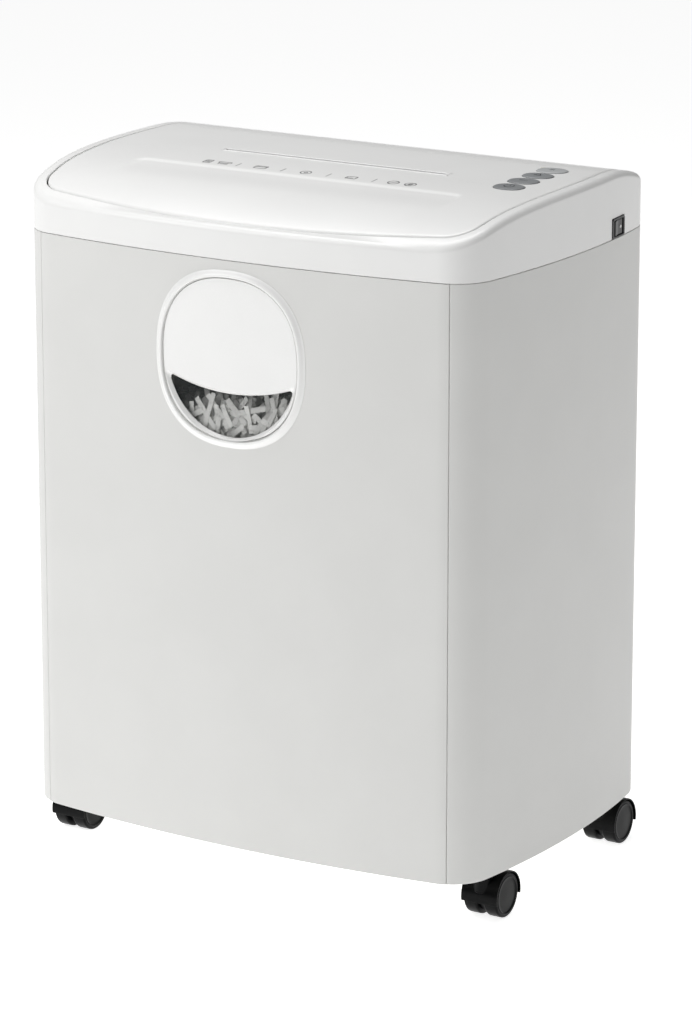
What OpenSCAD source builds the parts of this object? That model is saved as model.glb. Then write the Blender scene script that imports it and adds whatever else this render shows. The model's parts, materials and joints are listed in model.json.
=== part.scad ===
// Auto-feed paper shredder on four swivel casters.
// Frame: +Z up, the front faces -Y, origin on the floor under the middle of the body.

/* [Body] */
// Overall width of the body, over its bowed sides
body_w = 457; // [440:1:470]
// Overall depth of the body, over its bowed front
body_d = 324; // [316:1:334]
// Height of the cabinet's bottom edge above the floor
cabinet_z = 42; // [42:1:48]
// Height of the joint between the cabinet and the head
seam_z = 542; // [540:1:550]
// Wall thickness of the moulded shells
wall = 2.6; // [2:0.1:3.2]
// Radius of the bow of the front
front_r = 1290; // [1200:10:1400]
// Radius of the bow of each side
side_r = 830; // [800:10:860]
// Radius of the two front corners
corner_r = 38; // [34:1:42]
// Radius of the two back corners
back_r = 41; // [36:1:46]
// Half distance between the two upright split lines of the front
split_x = 196; // [192:1:198]

/* [Head] */
// Height of the lid's front edge above the seam
front_rise = 28; // [26:1:32]
// Further rise from the front edge to the crest
crest_rise = 27; // [24:1:28]
// Width of the rim around the lid
rim_land = 11; // [10:1:12]
// Clear length of the hand-feed slot
slot_l = 218; // [216:1:220]
// Clear width of the hand-feed slot
slot_w = 5; // [4:0.5:6]
// Length of a control key along the machine
key_w = 27; // [24:1:28]
// Depth of a control key
key_d = 21; // [19:1:22]
// Travel of a control key
key_travel = 0.8; // [0.5:0.1:1]

/* [Bin] */
// Width of the waste bin
tub_w = 360; // [340:2:364]
// Height of the window, tip to tip
window_h = 148; // [140:1:150]
// Width of the window
window_w = 143; // [136:1:146]
// Height of the window's centre above the floor
window_z = 460; // [455:1:464]

/* [Cutters] */
// Radius of the cutter discs
disc_r = 17.5; // [17:0.1:17.8]
// Pitch of the cutter discs along a shaft
disc_pitch = 8; // [8:0.5:10]
// Height of the cutter shafts' axes
cutter_z = 496; // [494:1:498]

/* [Casters] */
// Radius of the caster wheels
wheel_r = 19; // [18:0.5:19]
// Width of one caster wheel
wheel_w = 12.4; // [11:0.2:13]
// Distance from a swivel axis to its wheels' axle
trail = 13; // [10:1:14]
// Distance of the swivel axes from the middle of the body
caster_x = 205; // [195:1:206]

/* [Hidden] */
$fn = 64;
gap = 0.3;                       // running gap between moulded pieces
back_y = body_d / 2;
front_y = -body_d / 2;
side_turn = 81;                  // direction of the outline where corner meets side
slot_y = 3;                      // the paper path's plane
shaft_gap = 15;                  // half distance between the cutter shafts
shaft_front_y = slot_y - shaft_gap;
shaft_rear_y = slot_y + shaft_gap;
shaft_r = 7;
disc_t = 3.6;
plate_x = 132;                   // inner faces of the cutter side plates
plate_t = 3;
gear_plate_x = -172;             // inner face of the gearbox plate
deck_z = 456;                    // top of the cutter deck
sync_module = 1.5;
sync_teeth = 20;
output_teeth = 34;
small_teeth = 16;
motor_module = 1;
big_teeth = 72;
pinion_teeth = 16;
idler_y = shaft_rear_y + sync_module * (output_teeth + small_teeth) / 2;
motor_y = idler_y + motor_module * (big_teeth + pinion_teeth) / 2;
motor_r = 30;
motor_l = 118;
roller_off = 42;                 // feed roller axes from the paper path's plane
roller_z = 539;
roller_r = 14;
pulley_r = 9;
belt_x = 150;
tray_z = 549;                    // top of the paper bed
tray_w = 224;
tray_l = 299;
flange_z = 566;                  // top of the flange round the paper bed
hinge_y = 142;
hinge_z = 575.8;
pin_r = 2;
eye_r = 4.3;                     // hinge eyes, clear of the lid's underside
opening_back_y = 151;            // back edge of the opening in the head's rim
opening_back_x = 203;            // half width of that edge, square at its corners
tub_front_y = -145;
tub_back_y = 108;
tub_z = 68;
tub_top = 446;
key_x = 177;
key_first_y = -16.5;
key_step = 24.5;
switch_y = 82.5;
switch_turn = 4.8;               // the side's lean at the switch
switch_z = 550.4;
caster_front_y = -100;
caster_rear_y = 107;
stem_r = 5;
inlet_x = 150;
inlet_z = 96;

// ---------- the body's outline, as arcs that meet at a tangent ----------

// Points of an arc; the angle is the outward normal's, from the front (-Y) towards +X
function arc(c, r, a, b, n) =
    [for (i = [0:n]) let (t = a + (b - a) * i / n) [c.x + r * sin(t), c.y - r * cos(t)]];

corner_cx = body_w / 2 - side_r + (side_r - corner_r) * sin(side_turn);
front_turn = asin(corner_cx / (front_r - corner_r));
front_c = [0, front_y + front_r];
corner_c = [corner_cx, front_c.y - (front_r - corner_r) * cos(front_turn)];
side_c = [corner_c.x - (side_r - corner_r) * sin(side_turn),
          corner_c.y + (side_r - corner_r) * cos(side_turn)];
back_turn = acos(-(back_y - back_r - side_c.y) / (side_r - back_r));
back_c = [side_c.x + (side_r - back_r) * sin(back_turn),
          side_c.y - (side_r - back_r) * cos(back_turn)];

// Right half of the outline, from the front's middle to the back's flat
function half_outline(inset) = concat(
    arc(front_c, front_r - inset, 0, front_turn, 5),
    arc(corner_c, corner_r - inset, front_turn + 12, side_turn, 5),
    arc(side_c, side_r - inset, side_turn + 3, back_turn, 5),
    arc(back_c, back_r - inset, back_turn + 14, 180, 5));

function outline(inset) = let (h = half_outline(inset), n = len(h)) concat(
    h, [for (i = [n - 1:-1:1]) [-h[i].x, h[i].y]]);

module body_slab(inset, z0, z1)
    translate([0, 0, z0]) linear_extrude(z1 - z0) polygon(outline(inset));

// A wall that follows the outline between two insets
module body_band(outer, inner, z0, z1)
    translate([0, 0, z0]) linear_extrude(z1 - z0) difference() {
        polygon(outline(outer));
        polygon(outline(inner));
    }

// Height of the head's top at a distance y from the middle
function top_z(y) =
    let (t = max(0, y + 150), u = max(0, y - 70))
    seam_z + front_rise + crest_rise * (1 - exp(-t / 45)) - 0.0026 * u * u;

// A slab across the machine that follows the head's top, between two depths below it
module top_slab(upper, lower) {
    ys = [-164, -150, -138, -126, -114, -100, -82, -60, -30, 10, 70, 95, 120, 142, 164];
    rotate([90, 0, 90]) translate([0, 0, -body_w / 2 - 2]) linear_extrude(body_w + 4)
        polygon(concat([for (y = ys) [y, top_z(y) - upper]],
                       [for (i = [len(ys) - 1:-1:0]) [ys[i], top_z(ys[i]) - lower]]));
}

// Everything under the head's top, down to a height
module under_top(upper, z0) {
    ys = [-164, -150, -138, -126, -114, -100, -82, -60, -30, 10, 70, 95, 120, 142, 164];
    rotate([90, 0, 90]) translate([0, 0, -body_w / 2 - 2]) linear_extrude(body_w + 4)
        polygon(concat([[-164, z0]], [for (y = ys) [y, top_z(y) - upper]], [[164, z0]]));
}

// ---------- small shared shapes ----------

// A rod or bore along X
module rod_x(r, x0, x1, y, z) translate([x0, y, z]) rotate([0, 90, 0]) cylinder(h = x1 - x0, r = r);

module box(a, b) translate(a) cube(b - a);

module ellipse_xy(w, d) polygon([for (i = [0:35]) [w / 2 * cos(i * 10), d / 2 * sin(i * 10)]]);

// Spur gear about X: straight-sided teeth, a tooth at the angle "phase" from +Y
module gear(teeth, m, x0, width, y, bore, phase) {
    pitch = 360 / teeth;
    r = m * teeth / 2;
    translate([x0, y, cutter_z]) rotate([90, 0, 90]) linear_extrude(width) difference() {
        polygon([for (i = [0:teeth - 1], p = [[-0.29, r - 1.2 * m], [-0.2, r], [-0.1, r + 0.92 * m],
                                            [0.1, r + 0.92 * m], [0.2, r], [0.29, r - 1.2 * m]])
            let (t = (i + p[0]) * pitch + phase) p[1] * [cos(t), sin(t)]]);
        circle(bore);
    }
}

// ---------- cabinet ----------

module side_shell_right() color("#dcdbd8") {
    intersection() {
        body_band(0, wall, cabinet_z, seam_z - 0.2);
        box([split_x + 0.3, front_y - 1, 0], [body_w, back_y + 1, seam_z]);
    }
    intersection() {
        body_band(0, wall, cabinet_z, seam_z - 0.2);
        box([180.4, 0, 0], [split_x + 0.3, back_y + 1, seam_z]);
    }
}

module side_shell_left() color("#dcdbd8") mirror([1, 0, 0]) side_shell_right();

module back_panel() color("#d2d1ce") difference() {
    box([-180, back_y - wall, cabinet_z], [180, back_y, seam_z - 0.2]);
    for (row = [0:9], col = [0:1])
        box([-100 + col * 74, back_y - 4, 462 + row * 7], [-34 + col * 74, back_y + 1, 465 + row * 7]);
    box([inlet_x - 14, back_y - 4, inlet_z - 10], [inlet_x + 14, back_y + 1, inlet_z + 10]);
    box([inlet_x - 17.2, back_y - 1.6, inlet_z - 13.2], [inlet_x + 17.2, back_y + 1, inlet_z + 13.2]);
    for (x = [-168, 168], z = [56, 296, 528]) translate([x, back_y + 1, z]) rotate([90, 0, 0]) {
        cylinder(h = 6, r = 1.6);
        cylinder(h = 2.4, r = 3.7);
    }
}

module base_plate() color("#c9c8c4") difference() {
    union() {
        intersection() {
            body_slab(wall + gap, 44, 48);
            box([-240, -145.5, 40], [240, back_y, 50]);
        }
        for (x = [-caster_x, caster_x], y = [caster_front_y, caster_rear_y])
            translate([x, y, 46]) cylinder(h = 24, r = 9);
        for (y = [-60, 20, 100]) box([-170, y, 48], [170, y + 3, 58]);
    }
    for (x = [-caster_x, caster_x], y = [caster_front_y, caster_rear_y])
        translate([x, y, 40]) cylinder(h = 27.5, r = stem_r + 0.06);
}

module bin_rails() color("#bdbcb8") for (s = [-1, 1]) {
    box([s * 187 - 4, -140, 48], [s * 187 + 4, 120, 64]);
    box([s * 187 - 4, 112, 64], [s * 187 + 4, 120, 78]);
}

module cutter_deck() color("#b9b8b4") difference() {
    intersection() {
        body_slab(wall + gap, deck_z - 4, deck_z);
        box([-240, -136, 400], [240, 158, 500]);
    }
    box([-120, slot_y - 38, 440], [120, slot_y + 38, 460]);
}

// ---------- cutter block ----------

module shaft_holes(x0, x1, r) {
    rod_x(r, x0, x1, shaft_front_y, cutter_z);
    rod_x(r, x0, x1, shaft_rear_y, cutter_z);
}

module rod_holes(x0, x1, r) for (y = [slot_y - 45, slot_y + 49], z = [cutter_z - 30, cutter_z + 22])
    rod_x(r, x0, x1, y, z);

module cutter_side_plate_right() color("#8d9194") difference() {
    box([plate_x, slot_y - 53, deck_z], [plate_x + plate_t, slot_y + 57, cutter_z + 34]);
    shaft_holes(plate_x - 1, plate_x + 4, 10);
    rod_holes(plate_x - 1, plate_x + 4, 3);
}

module cutter_side_plate_left() color("#8d9194") difference() {
    box([-plate_x - plate_t, slot_y - 53, deck_z], [-plate_x, motor_y + 36, cutter_z + 34]);
    shaft_holes(-plate_x - 4, -plate_x + 1, 10);
    rod_holes(-plate_x - 4, -plate_x + 1, 3);
    rod_x(3.5, -plate_x - 4, -plate_x + 1, idler_y, cutter_z);
    rod_x(11, -plate_x - 4, -plate_x + 1, motor_y, cutter_z);
}

module tie_rods() color("#a7abae") for (y = [slot_y - 45, slot_y + 49], z = [cutter_z - 30, cutter_z + 22]) {
    rod_x(4, -plate_x, plate_x, y, z);
    rod_x(3, -plate_x - 6, plate_x + 6, y, z);
    for (x = [-plate_x - 6.4, plate_x + plate_t])
        translate([x, y, z]) rotate([0, 90, 0]) cylinder(h = 3.4, r = 5.5, $fn = 6);
}

module cutter_bushes() color("#b08d57") for (s = [-1, 1], y = [shaft_front_y, shaft_rear_y]) difference() {
    union() {
        rod_x(10, s * (plate_x + plate_t / 2) - 1.5, s * (plate_x + plate_t / 2) + 1.5, y, cutter_z);
        rod_x(12.5, s * (plate_x - 1) - 1, s * (plate_x - 1) + 1, y, cutter_z);
    }
    rod_x(shaft_r + 0.06, s * plate_x - 8, s * plate_x + 8, y, cutter_z);
}

disc_n = floor((2 * plate_x - 14) / disc_pitch);
disc_x0 = -disc_n * disc_pitch / 2;

// A cutter turned from one bar: shaft, core and hooked discs
module cutter(y, shift) {
    rod_x(11, disc_x0 - 2, -disc_x0 + 2, y, cutter_z);
    for (i = [0:disc_n - 1])
        translate([disc_x0 + i * disc_pitch + shift, y, cutter_z]) rotate([90, 0, 90])
            linear_extrude(disc_t) difference() {
                circle(disc_r);
                for (a = [0:120:240]) rotate(a + i * 20) translate([disc_r - 1.6, 0]) square([4, 5]);
            }
}

module front_cutter() color("#9a9ea2") {
    cutter(shaft_front_y, 0.2);
    rod_x(shaft_r, -plate_x - 8, 157, shaft_front_y, cutter_z);
    rod_x(pulley_r, belt_x - 0.5, belt_x + 5.5, shaft_front_y, cutter_z);
}

module rear_cutter() color("#9a9ea2") {
    cutter(shaft_rear_y, disc_pitch / 2 + 0.2);
    rod_x(shaft_r, -151, 157, shaft_rear_y, cutter_z);
    rod_x(pulley_r, belt_x - 0.5, belt_x + 5.5, shaft_rear_y, cutter_z);
}

module front_sync_gear() color("#7f8488")
    gear(sync_teeth, sync_module, plate_x + 5, 10, shaft_front_y, shaft_r, 0);

module rear_sync_gear() color("#7f8488")
    gear(sync_teeth, sync_module, plate_x + 5, 10, shaft_rear_y, shaft_r, 180 / sync_teeth);

module output_gear() color("#7f8488")
    gear(output_teeth, sync_module, -150, 10, shaft_rear_y, shaft_r, 0);

module reduction_gear() color("#e7e3d2") {
    gear(small_teeth, sync_module, -151, 11.5, idler_y, 3.06, 180 / small_teeth);
    gear(big_teeth, motor_module, -160, 7, idler_y, 3.06, 0);
    difference() {
        rod_x(9, -153, -151, idler_y, cutter_z);
        rod_x(3.06, -154, -150, idler_y, cutter_z);
    }
}

module motor_rotor() color("#7f8488") {
    gear(pinion_teeth, motor_module, -161, 9, motor_y, 3.9, 180 / pinion_teeth);
    rod_x(4, -164, -112, motor_y, cutter_z);
}

module gearbox_plate() color("#8d9194") {
    box([gear_plate_x - 3, slot_y - 24, deck_z], [gear_plate_x, motor_y + 20, cutter_z + 34]);
    rod_x(3, gear_plate_x, -plate_x, idler_y, cutter_z);
    for (y = [slot_y - 18, motor_y + 14]) rod_x(4, gear_plate_x, -plate_x - plate_t, y, cutter_z + 26);
}

module stripper_combs() color("#6f7478") for (s = [-1, 1]) {
    y_bar = slot_y + s * 43;
    shift = s < 0 ? 0.2 : disc_pitch / 2 + 0.2;
    y_tip = slot_y + s * (shaft_gap + 12);
    box([-plate_x + 0.2, y_bar - 2 - s * 3, cutter_z - 6], [plate_x - 0.2, y_bar + 2 - s * 3, cutter_z + 6]);
    for (i = [0:disc_n - 2]) {
        x = disc_x0 + i * disc_pitch + shift + disc_t + 0.6;
        box([x, min(y_tip, y_bar - s * 4), cutter_z - 4],
            [x + disc_pitch - disc_t - 1.2, max(y_tip, y_bar - s * 4), cutter_z + 4]);
    }
}

module throat_guide() color("#5d6063") difference() {
    union() {
        box([-118, slot_y - 8, 516], [118, slot_y + 8, 546.3]);
        box([-124, slot_y - 24, 514], [124, slot_y + 24, 516.2]);
    }
    box([-113, slot_y - 4.5, 512], [113, slot_y + 4.5, 548]);
}

module motor_can() color("#9da1a4") difference() {
    union() {
        rod_x(motor_r, -plate_x, -plate_x + motor_l, motor_y, cutter_z);
        box([-plate_x + 20, motor_y - 24, deck_z], [-plate_x + 90, motor_y + 24, cutter_z]);
    }
    rod_x(4.06, -plate_x - 1, -plate_x + 22, motor_y, cutter_z);
}

module motor_end_bell() color("#3b3d3f") {
    rod_x(26, -plate_x + motor_l, -plate_x + motor_l + 9, motor_y, cutter_z);
    rod_x(9, -plate_x + motor_l + 9, -plate_x + motor_l + 13, motor_y, cutter_z);
}

// ---------- feed rollers and belts ----------

module feed_roller(y) {
    rod_x(3, -108, 157, y, roller_z);
    for (x = [-45, 45]) rod_x(roller_r, x - 12, x + 12, y, roller_z);
    rod_x(pulley_r, belt_x - 0.5, belt_x + 5.5, y, roller_z);
}

module front_feed_roller() color("#3a3b3c") feed_roller(slot_y - roller_off);

module rear_feed_roller() color("#3a3b3c") feed_roller(slot_y + roller_off);

// Outline of a belt round two equal pulleys, in the plane of the belt
function belt_loop(r, a, b) = let (t = atan2(b.y - a.y, b.x - a.x)) concat(
    [for (i = [0:8]) b + r * [cos(t - 90 + i * 22.5), sin(t - 90 + i * 22.5)]],
    [for (i = [0:8]) a + r * [cos(t + 90 + i * 22.5), sin(t + 90 + i * 22.5)]]);

module feed_belts() color("#2b2b2b") for (s = [-1, 1])
    translate([belt_x + 0.5, 0, 0]) rotate([90, 0, 90]) linear_extrude(4) difference() {
        a = [slot_y + s * shaft_gap, cutter_z];
        b = [slot_y + s * roller_off, roller_z];
        polygon(belt_loop(pulley_r + 2.2, a, b));
        polygon(belt_loop(pulley_r + 0.6, a, b));
    }

// ---------- electrics ----------

module control_board() color("#2f6b4a") {
    box([196, 30, 462], [197.6, 120, 532]);
    box([184, 40, 470], [196, 66, 492]);
    box([186, 74, 500], [196, 96, 522]);
    for (z = [470, 484]) rod_x(5, 180, 196, 92, z);
    for (y = [38, 112]) box([197.6, y - 3, 456], [214, y + 3, 470]);
}

module interlock_switch() color("#26282a") {
    box([-20, 112, 430], [8, 122, 446]);
    box([-24, 122, 434], [12, back_y - wall, 450]);
    box([-14, 110.5, 436], [-11, 112, 439]);
}

module power_inlet() color("#1c1d1e") {
    difference() {
        box([inlet_x - 17, back_y - 1.6, inlet_z - 13], [inlet_x + 17, back_y, inlet_z + 13]);
        box([inlet_x - 12, back_y - 2, inlet_z - 8], [inlet_x + 12, back_y + 1, inlet_z + 8]);
    }
    difference() {
        box([inlet_x - 13.7, back_y - 22, inlet_z - 9.7], [inlet_x + 13.7, back_y - 1.6, inlet_z + 9.7]);
        box([inlet_x - 12, back_y - 18, inlet_z - 8], [inlet_x + 12, back_y - 1, inlet_z + 8]);
    }
    for (p = [[-7, -2], [0, 3], [7, -2]])
        box([inlet_x + p.x - 1, back_y - 18, inlet_z + p.y - 2], [inlet_x + p.x + 1, back_y - 3, inlet_z + p.y + 2]);
}

module case_screws() color("#8f9296") for (x = [-168, 168], z = [56, 296, 528]) {
    translate([x, back_y, z]) rotate([90, 0, 0]) cylinder(h = 1.4, r = 3.4);
    translate([x, back_y - 1.2, z]) rotate([90, 0, 0]) cylinder(h = 7, r = 1.55);
}

// ---------- head ----------

module head_rim() color("#e9e8e4") difference() {
    union() {
        intersection() {
            body_band(0, wall, seam_z, seam_z + 70);
            under_top(0, seam_z);
        }
        intersection() {
            body_band(0.5, rim_land, seam_z, seam_z + 70);
            top_slab(0, 3);
        }
    }
    box([-opening_back_x, 100, seam_z], [opening_back_x, opening_back_y, seam_z + 70]);
    switch_cavity(13, 9.2);
}

// Space for the mains switch through the right side
module switch_cavity(half_l, half_h)
    translate([side_c.x, side_c.y, 0]) rotate([0, 0, switch_turn])
        box([side_r - 14, -half_l, switch_z - half_h], [side_r + 5, half_l, switch_z + half_h]);

module switch_housing() color("#17181a") translate([side_c.x, side_c.y, 0])
    rotate([0, 0, switch_turn]) difference() {
        box([side_r - 16, -12.6, seam_z + 0.1], [side_r + 0.8, 12.6, switch_z + 8.8]);
        box([side_r - 11, -10, switch_z - 6.6], [side_r + 2, 10, switch_z + 6.6]);
        translate([side_r - 5, 0, 530]) cylinder(h = 30, r = 1.06);
    }

module power_rocker() color("#232426") translate([side_c.x, side_c.y, 0])
    rotate([0, 0, switch_turn]) {
        translate([side_r - 5, 0, switch_z]) rotate([0, 0, 8])
            box([-2, -8.4, -6.1], [6.6, 8.4, 6.1]);
        translate([side_r - 5, 0, switch_z - 8]) cylinder(h = 16, r = 1);
    }

module feed_tray() color("#dedcd6") {
    difference() {
        union() {
            intersection() {
                body_slab(wall + gap, flange_z - 2.2, flange_z);
                box([-240, -155, 500], [240, 156, 600]);
            }
            box([-tray_w / 2 - 2.2, -tray_l / 2 - 2.2, tray_z - 2.4],
                [tray_w / 2 + 2.2, tray_l / 2 + 2.2, flange_z]);
            for (y = [slot_y - roller_off, slot_y + roller_off], x = [-72, 72])
                box([x - 3, y - 6, roller_z - 6], [x + 3, y + 6, tray_z - 2]);
        }
        box([-tray_w / 2, -tray_l / 2, tray_z], [tray_w / 2, tray_l / 2, flange_z + 1]);
        box([-111, slot_y - 6, tray_z - 4], [111, slot_y + 6, tray_z + 1]);
        for (y = [slot_y - roller_off, slot_y + roller_off]) {
            for (x = [-45, 45]) box([x - 14, y - 14.6, tray_z - 4], [x + 14, y + 14.6, tray_z + 1]);
            rod_x(3.06, -76, 76, y, roller_z);
        }
    }
    for (s = [-1, 1], x = [146, 176]) difference() {
        union() {
            rod_x(eye_r, s * x - 3, s * x + 3, hinge_y, hinge_z);
            box([s * x - 3, hinge_y - eye_r, flange_z - 1], [s * x + 3, hinge_y + 3.5, hinge_z]);
        }
        rod_x(pin_r, s * x - 4, s * x + 4, hinge_y, hinge_z);
    }
}

module lid_hinge_pins() color("#a7abae") for (s = [-1, 1])
    rod_x(pin_r, s * 161 - 19, s * 161 + 19, hinge_y, hinge_z);

// ---------- lid ----------

module key_seats(extra, z0) for (i = [0:3])
    translate([key_x, key_first_y + i * key_step, z0]) linear_extrude(60)
        ellipse_xy(key_w + extra, key_d + extra);

// Plan of the lid's back: it narrows ahead of the hinge so that its corners swing clear of the rim
module lid_plan() {
    x0 = opening_back_x - 1.2;
    y1 = opening_back_y - 4;
    translate([0, 0, 500]) linear_extrude(140) polygon([
        [-body_w, -body_d], [body_w, -body_d], [body_w, y1 - 19], [x0 + 6, y1 - 19], [x0, y1 - 13],
        [x0, y1], [-x0, y1], [-x0, y1 - 13], [-x0 - 6, y1 - 19], [-body_w, y1 - 19]]);
}

module lid_cover() color("#efeeea") difference() {
    union() {
        intersection() {
            union() {
                body_slab(rim_land + 1.2, 540, 620);
                box([1.2 - opening_back_x, 100, 540], [opening_back_x - 1.2, opening_back_y, 620]);
            }
            top_slab(0, wall);
            lid_plan();
        }
        intersection() {
            body_band(rim_land + 1.2, rim_land + 3.2, 540, 620);
            top_slab(0, 8.5);
            box([-240, -200, flange_z + 0.4], [240, hinge_y - 18, 640]);
        }
        for (s = [-1, 1]) {
            rod_x(4.5, s * 161 - 11, s * 161 + 11, hinge_y, hinge_z);
            box([s * 161 - 11, hinge_y - 3, hinge_z], [s * 161 + 11, hinge_y + 3, top_z(hinge_y) - 2]);
        }
    }
    for (s = [-1, 1]) rod_x(pin_r + 0.06, s * 161 - 12, s * 161 + 12, hinge_y, hinge_z);
    box([-slot_l / 2 - 2, slot_y - slot_w / 2 - 2, 570], [slot_l / 2 + 2, slot_y + slot_w / 2 + 2, 620]);
    key_seats(0.8, 560);
    translate([164, 65, 560]) cylinder(h = 60, r = 2.5);
}

module slot_liner() color("#f2f1ee") difference() {
    union() {
        intersection() {
            box([-slot_l / 2 - 1.8, slot_y - slot_w / 2 - 1.8, 562], [slot_l / 2 + 1.8, slot_y + slot_w / 2 + 1.8, 620]);
            under_top(0.2, 560);
        }
        box([-slot_l / 2 - 6, slot_y - slot_w / 2 - 5, 583], [slot_l / 2 + 6, slot_y + slot_w / 2 + 5, 585]);
    }
    box([-slot_l / 2, slot_y - slot_w / 2, 560], [slot_l / 2, slot_y + slot_w / 2, 625]);
}

module lid_inner_panel() color("#cfcec9") difference() {
    intersection() {
        body_slab(rim_land + 4, 540, 620);
        top_slab(7, 8.6);
        box([-142, -134, 500], [142, 130, 640]);
    }
    box([-slot_l / 2 - 7, slot_y - slot_w / 2 - 6, 560], [slot_l / 2 + 7, slot_y + slot_w / 2 + 6, 620]);
}

module key_board() color("#2f6b4a") {
    box([156, -32, 578], [196, 80, 579.6]);
    for (i = [0:3]) box([key_x - 3, key_first_y + i * key_step - 3, 579.6],
                        [key_x + 3, key_first_y + i * key_step + 3, 582.4]);
    for (y = [-28, 74]) translate([190, y, 579.6]) cylinder(h = top_z(y) - wall - 580.1, r = 2.5);
}

module led_lens() color("#f6f6f2") intersection() {
    translate([164, 65, 580]) cylinder(h = 40, r = 2.4);
    under_top(-0.3, 579.7);
}

module key(i) intersection() {
    translate([key_x, key_first_y + i * key_step, 583.4]) linear_extrude(40) ellipse_xy(key_w, key_d);
    under_top(-1.2, 583.4);
}

module key_power() color("#8f9295") key(0);

module key_reverse() color("#8f9295") key(1);

module key_auto() color("#8f9295") key(2);

module key_forward() color("#a9abad") key(3);

// ---------- bin ----------

module window_plate(dx, dz, y0, y1)
    translate([0, y1, window_z]) rotate([90, 0, 0]) linear_extrude(y1 - y0) ellipse_xy(window_w + dx, window_h + dz);

module bin_front_panel() color("#f0efec") difference() {
    union() {
        intersection() {
            body_band(0, wall, cabinet_z, seam_z - 0.5);
            box([-split_x + 0.3, front_y - 1, 0], [split_x - 0.3, -100, seam_z]);
        }
        for (x = [-150, 150]) intersection() {
            box([x - 1.5, front_y, 72], [x + 1.5, tub_front_y, 440]);
            body_slab(wall / 2, 60, 500);
        }
        intersection() {
            box([-150, front_y, 43], [150, -148, 46]);
            body_slab(wall / 2, 40, 60);
        }
    }
    window_plate(-14, -14, -170, -120);
}

module window_bezel() color("#f3f2ef") difference() {
    intersection() {
        window_plate(0, 0, front_y - 4, -150);
        body_slab(-3, 300, 600);
    }
    window_plate(-12, -12, -170, -120);
    body_slab(0, 300, 600);
}

module window_cover() color("#f6f5f2") difference() {
    intersection() {
        window_plate(-14.6, -14.6, front_y - 3, -150);
        body_slab(-1, 300, 600);
    }
    body_slab(1.8, 300, 600);
    window_opening(-172, -140);
}

// Crescent under a shallow smile, inside a circle
module window_opening(y0, y1) intersection() {
    translate([0, y1, window_z - 4]) rotate([90, 0, 0]) cylinder(h = y1 - y0, r = 61.5);
    translate([0, y1, 0]) rotate([90, 0, 0]) linear_extrude(y1 - y0) difference() {
        translate([-70, 380]) square([140, 62]);
        translate([0, 607]) circle(176, $fn = 96);
    }
}

module window_pane() color([0.85, 0.9, 0.9, 0.35]) intersection() {
    window_plate(-4, -4, -170, -140);
    body_band(wall, wall + 1.8, 300, 600);
    box([-80, -170, 380], [80, -140, 452]);
}

module bin_tub() color("#b4b3af") difference() {
    union() {
        box([-tub_w / 2, tub_front_y, tub_z], [tub_w / 2, tub_back_y, tub_top]);
        for (s = [-1, 1]) box([s * (tub_w / 2 + 3) - 4, tub_front_y + 8, tub_z - 3.4],
                              [s * (tub_w / 2 + 3) + 4, tub_back_y - 4, tub_z + 12]);
    }
    box([-tub_w / 2 + 2.2, tub_front_y + 2.2, tub_z + 2.6], [tub_w / 2 - 2.2, tub_back_y - 2.2, tub_top + 1]);
    box([-66, tub_front_y - 1, 386], [66, tub_front_y + 4, tub_top + 1]);
}

// ---------- casters ----------

wheel_x = 3.2;                   // inner face of a wheel from the caster's middle

module caster_hood(x, y) color("#141516") translate([x, y, 0]) {
    difference() {
        union() {
            rod_x(wheel_r + 1.7, -16.8, 16.8, trail, wheel_r);
            translate([0, 0, 24]) cylinder(h = 19.4, r = 8);
            translate([0, 0, 24]) cylinder(h = 42.5, r = stem_r);
        }
        for (x0 = [-20, 2.7]) rod_x(wheel_r + 0.5, x0, x0 + 17.3, trail, wheel_r);
        box([-20, -12, -5], [20, 40, 15]);
    }
    rod_x(15, -2.7, 2.7, trail, wheel_r);
    rod_x(3, -14.5, 14.5, trail, wheel_r);
}

module caster_wheel(x, y, s) color("#1d1e1f") difference() {
    rod_x(wheel_r, x + s * (wheel_x + wheel_w / 2) - wheel_w / 2,
          x + s * (wheel_x + wheel_w / 2) + wheel_w / 2, y + trail, wheel_r);
    rod_x(3.06, x - 20, x + 20, y + trail, wheel_r);
    rod_x(13.5, x + s * (wheel_x + wheel_w) - 1, x + s * (wheel_x + wheel_w) + 1, y + trail, wheel_r);
}

module caster_hood_fl() caster_hood(-caster_x, caster_front_y);
module caster_hood_fr() caster_hood(caster_x, caster_front_y);
module caster_hood_rl() caster_hood(-caster_x, caster_rear_y);
module caster_hood_rr() caster_hood(caster_x, caster_rear_y);
module wheel_fl_outer() caster_wheel(-caster_x, caster_front_y, -1);
module wheel_fl_inner() caster_wheel(-caster_x, caster_front_y, 1);
module wheel_fr_outer() caster_wheel(caster_x, caster_front_y, 1);
module wheel_fr_inner() caster_wheel(caster_x, caster_front_y, -1);
module wheel_rl_outer() caster_wheel(-caster_x, caster_rear_y, -1);
module wheel_rl_inner() caster_wheel(-caster_x, caster_rear_y, 1);
module wheel_rr_outer() caster_wheel(caster_x, caster_rear_y, 1);
module wheel_rr_inner() caster_wheel(caster_x, caster_rear_y, -1);

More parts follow.
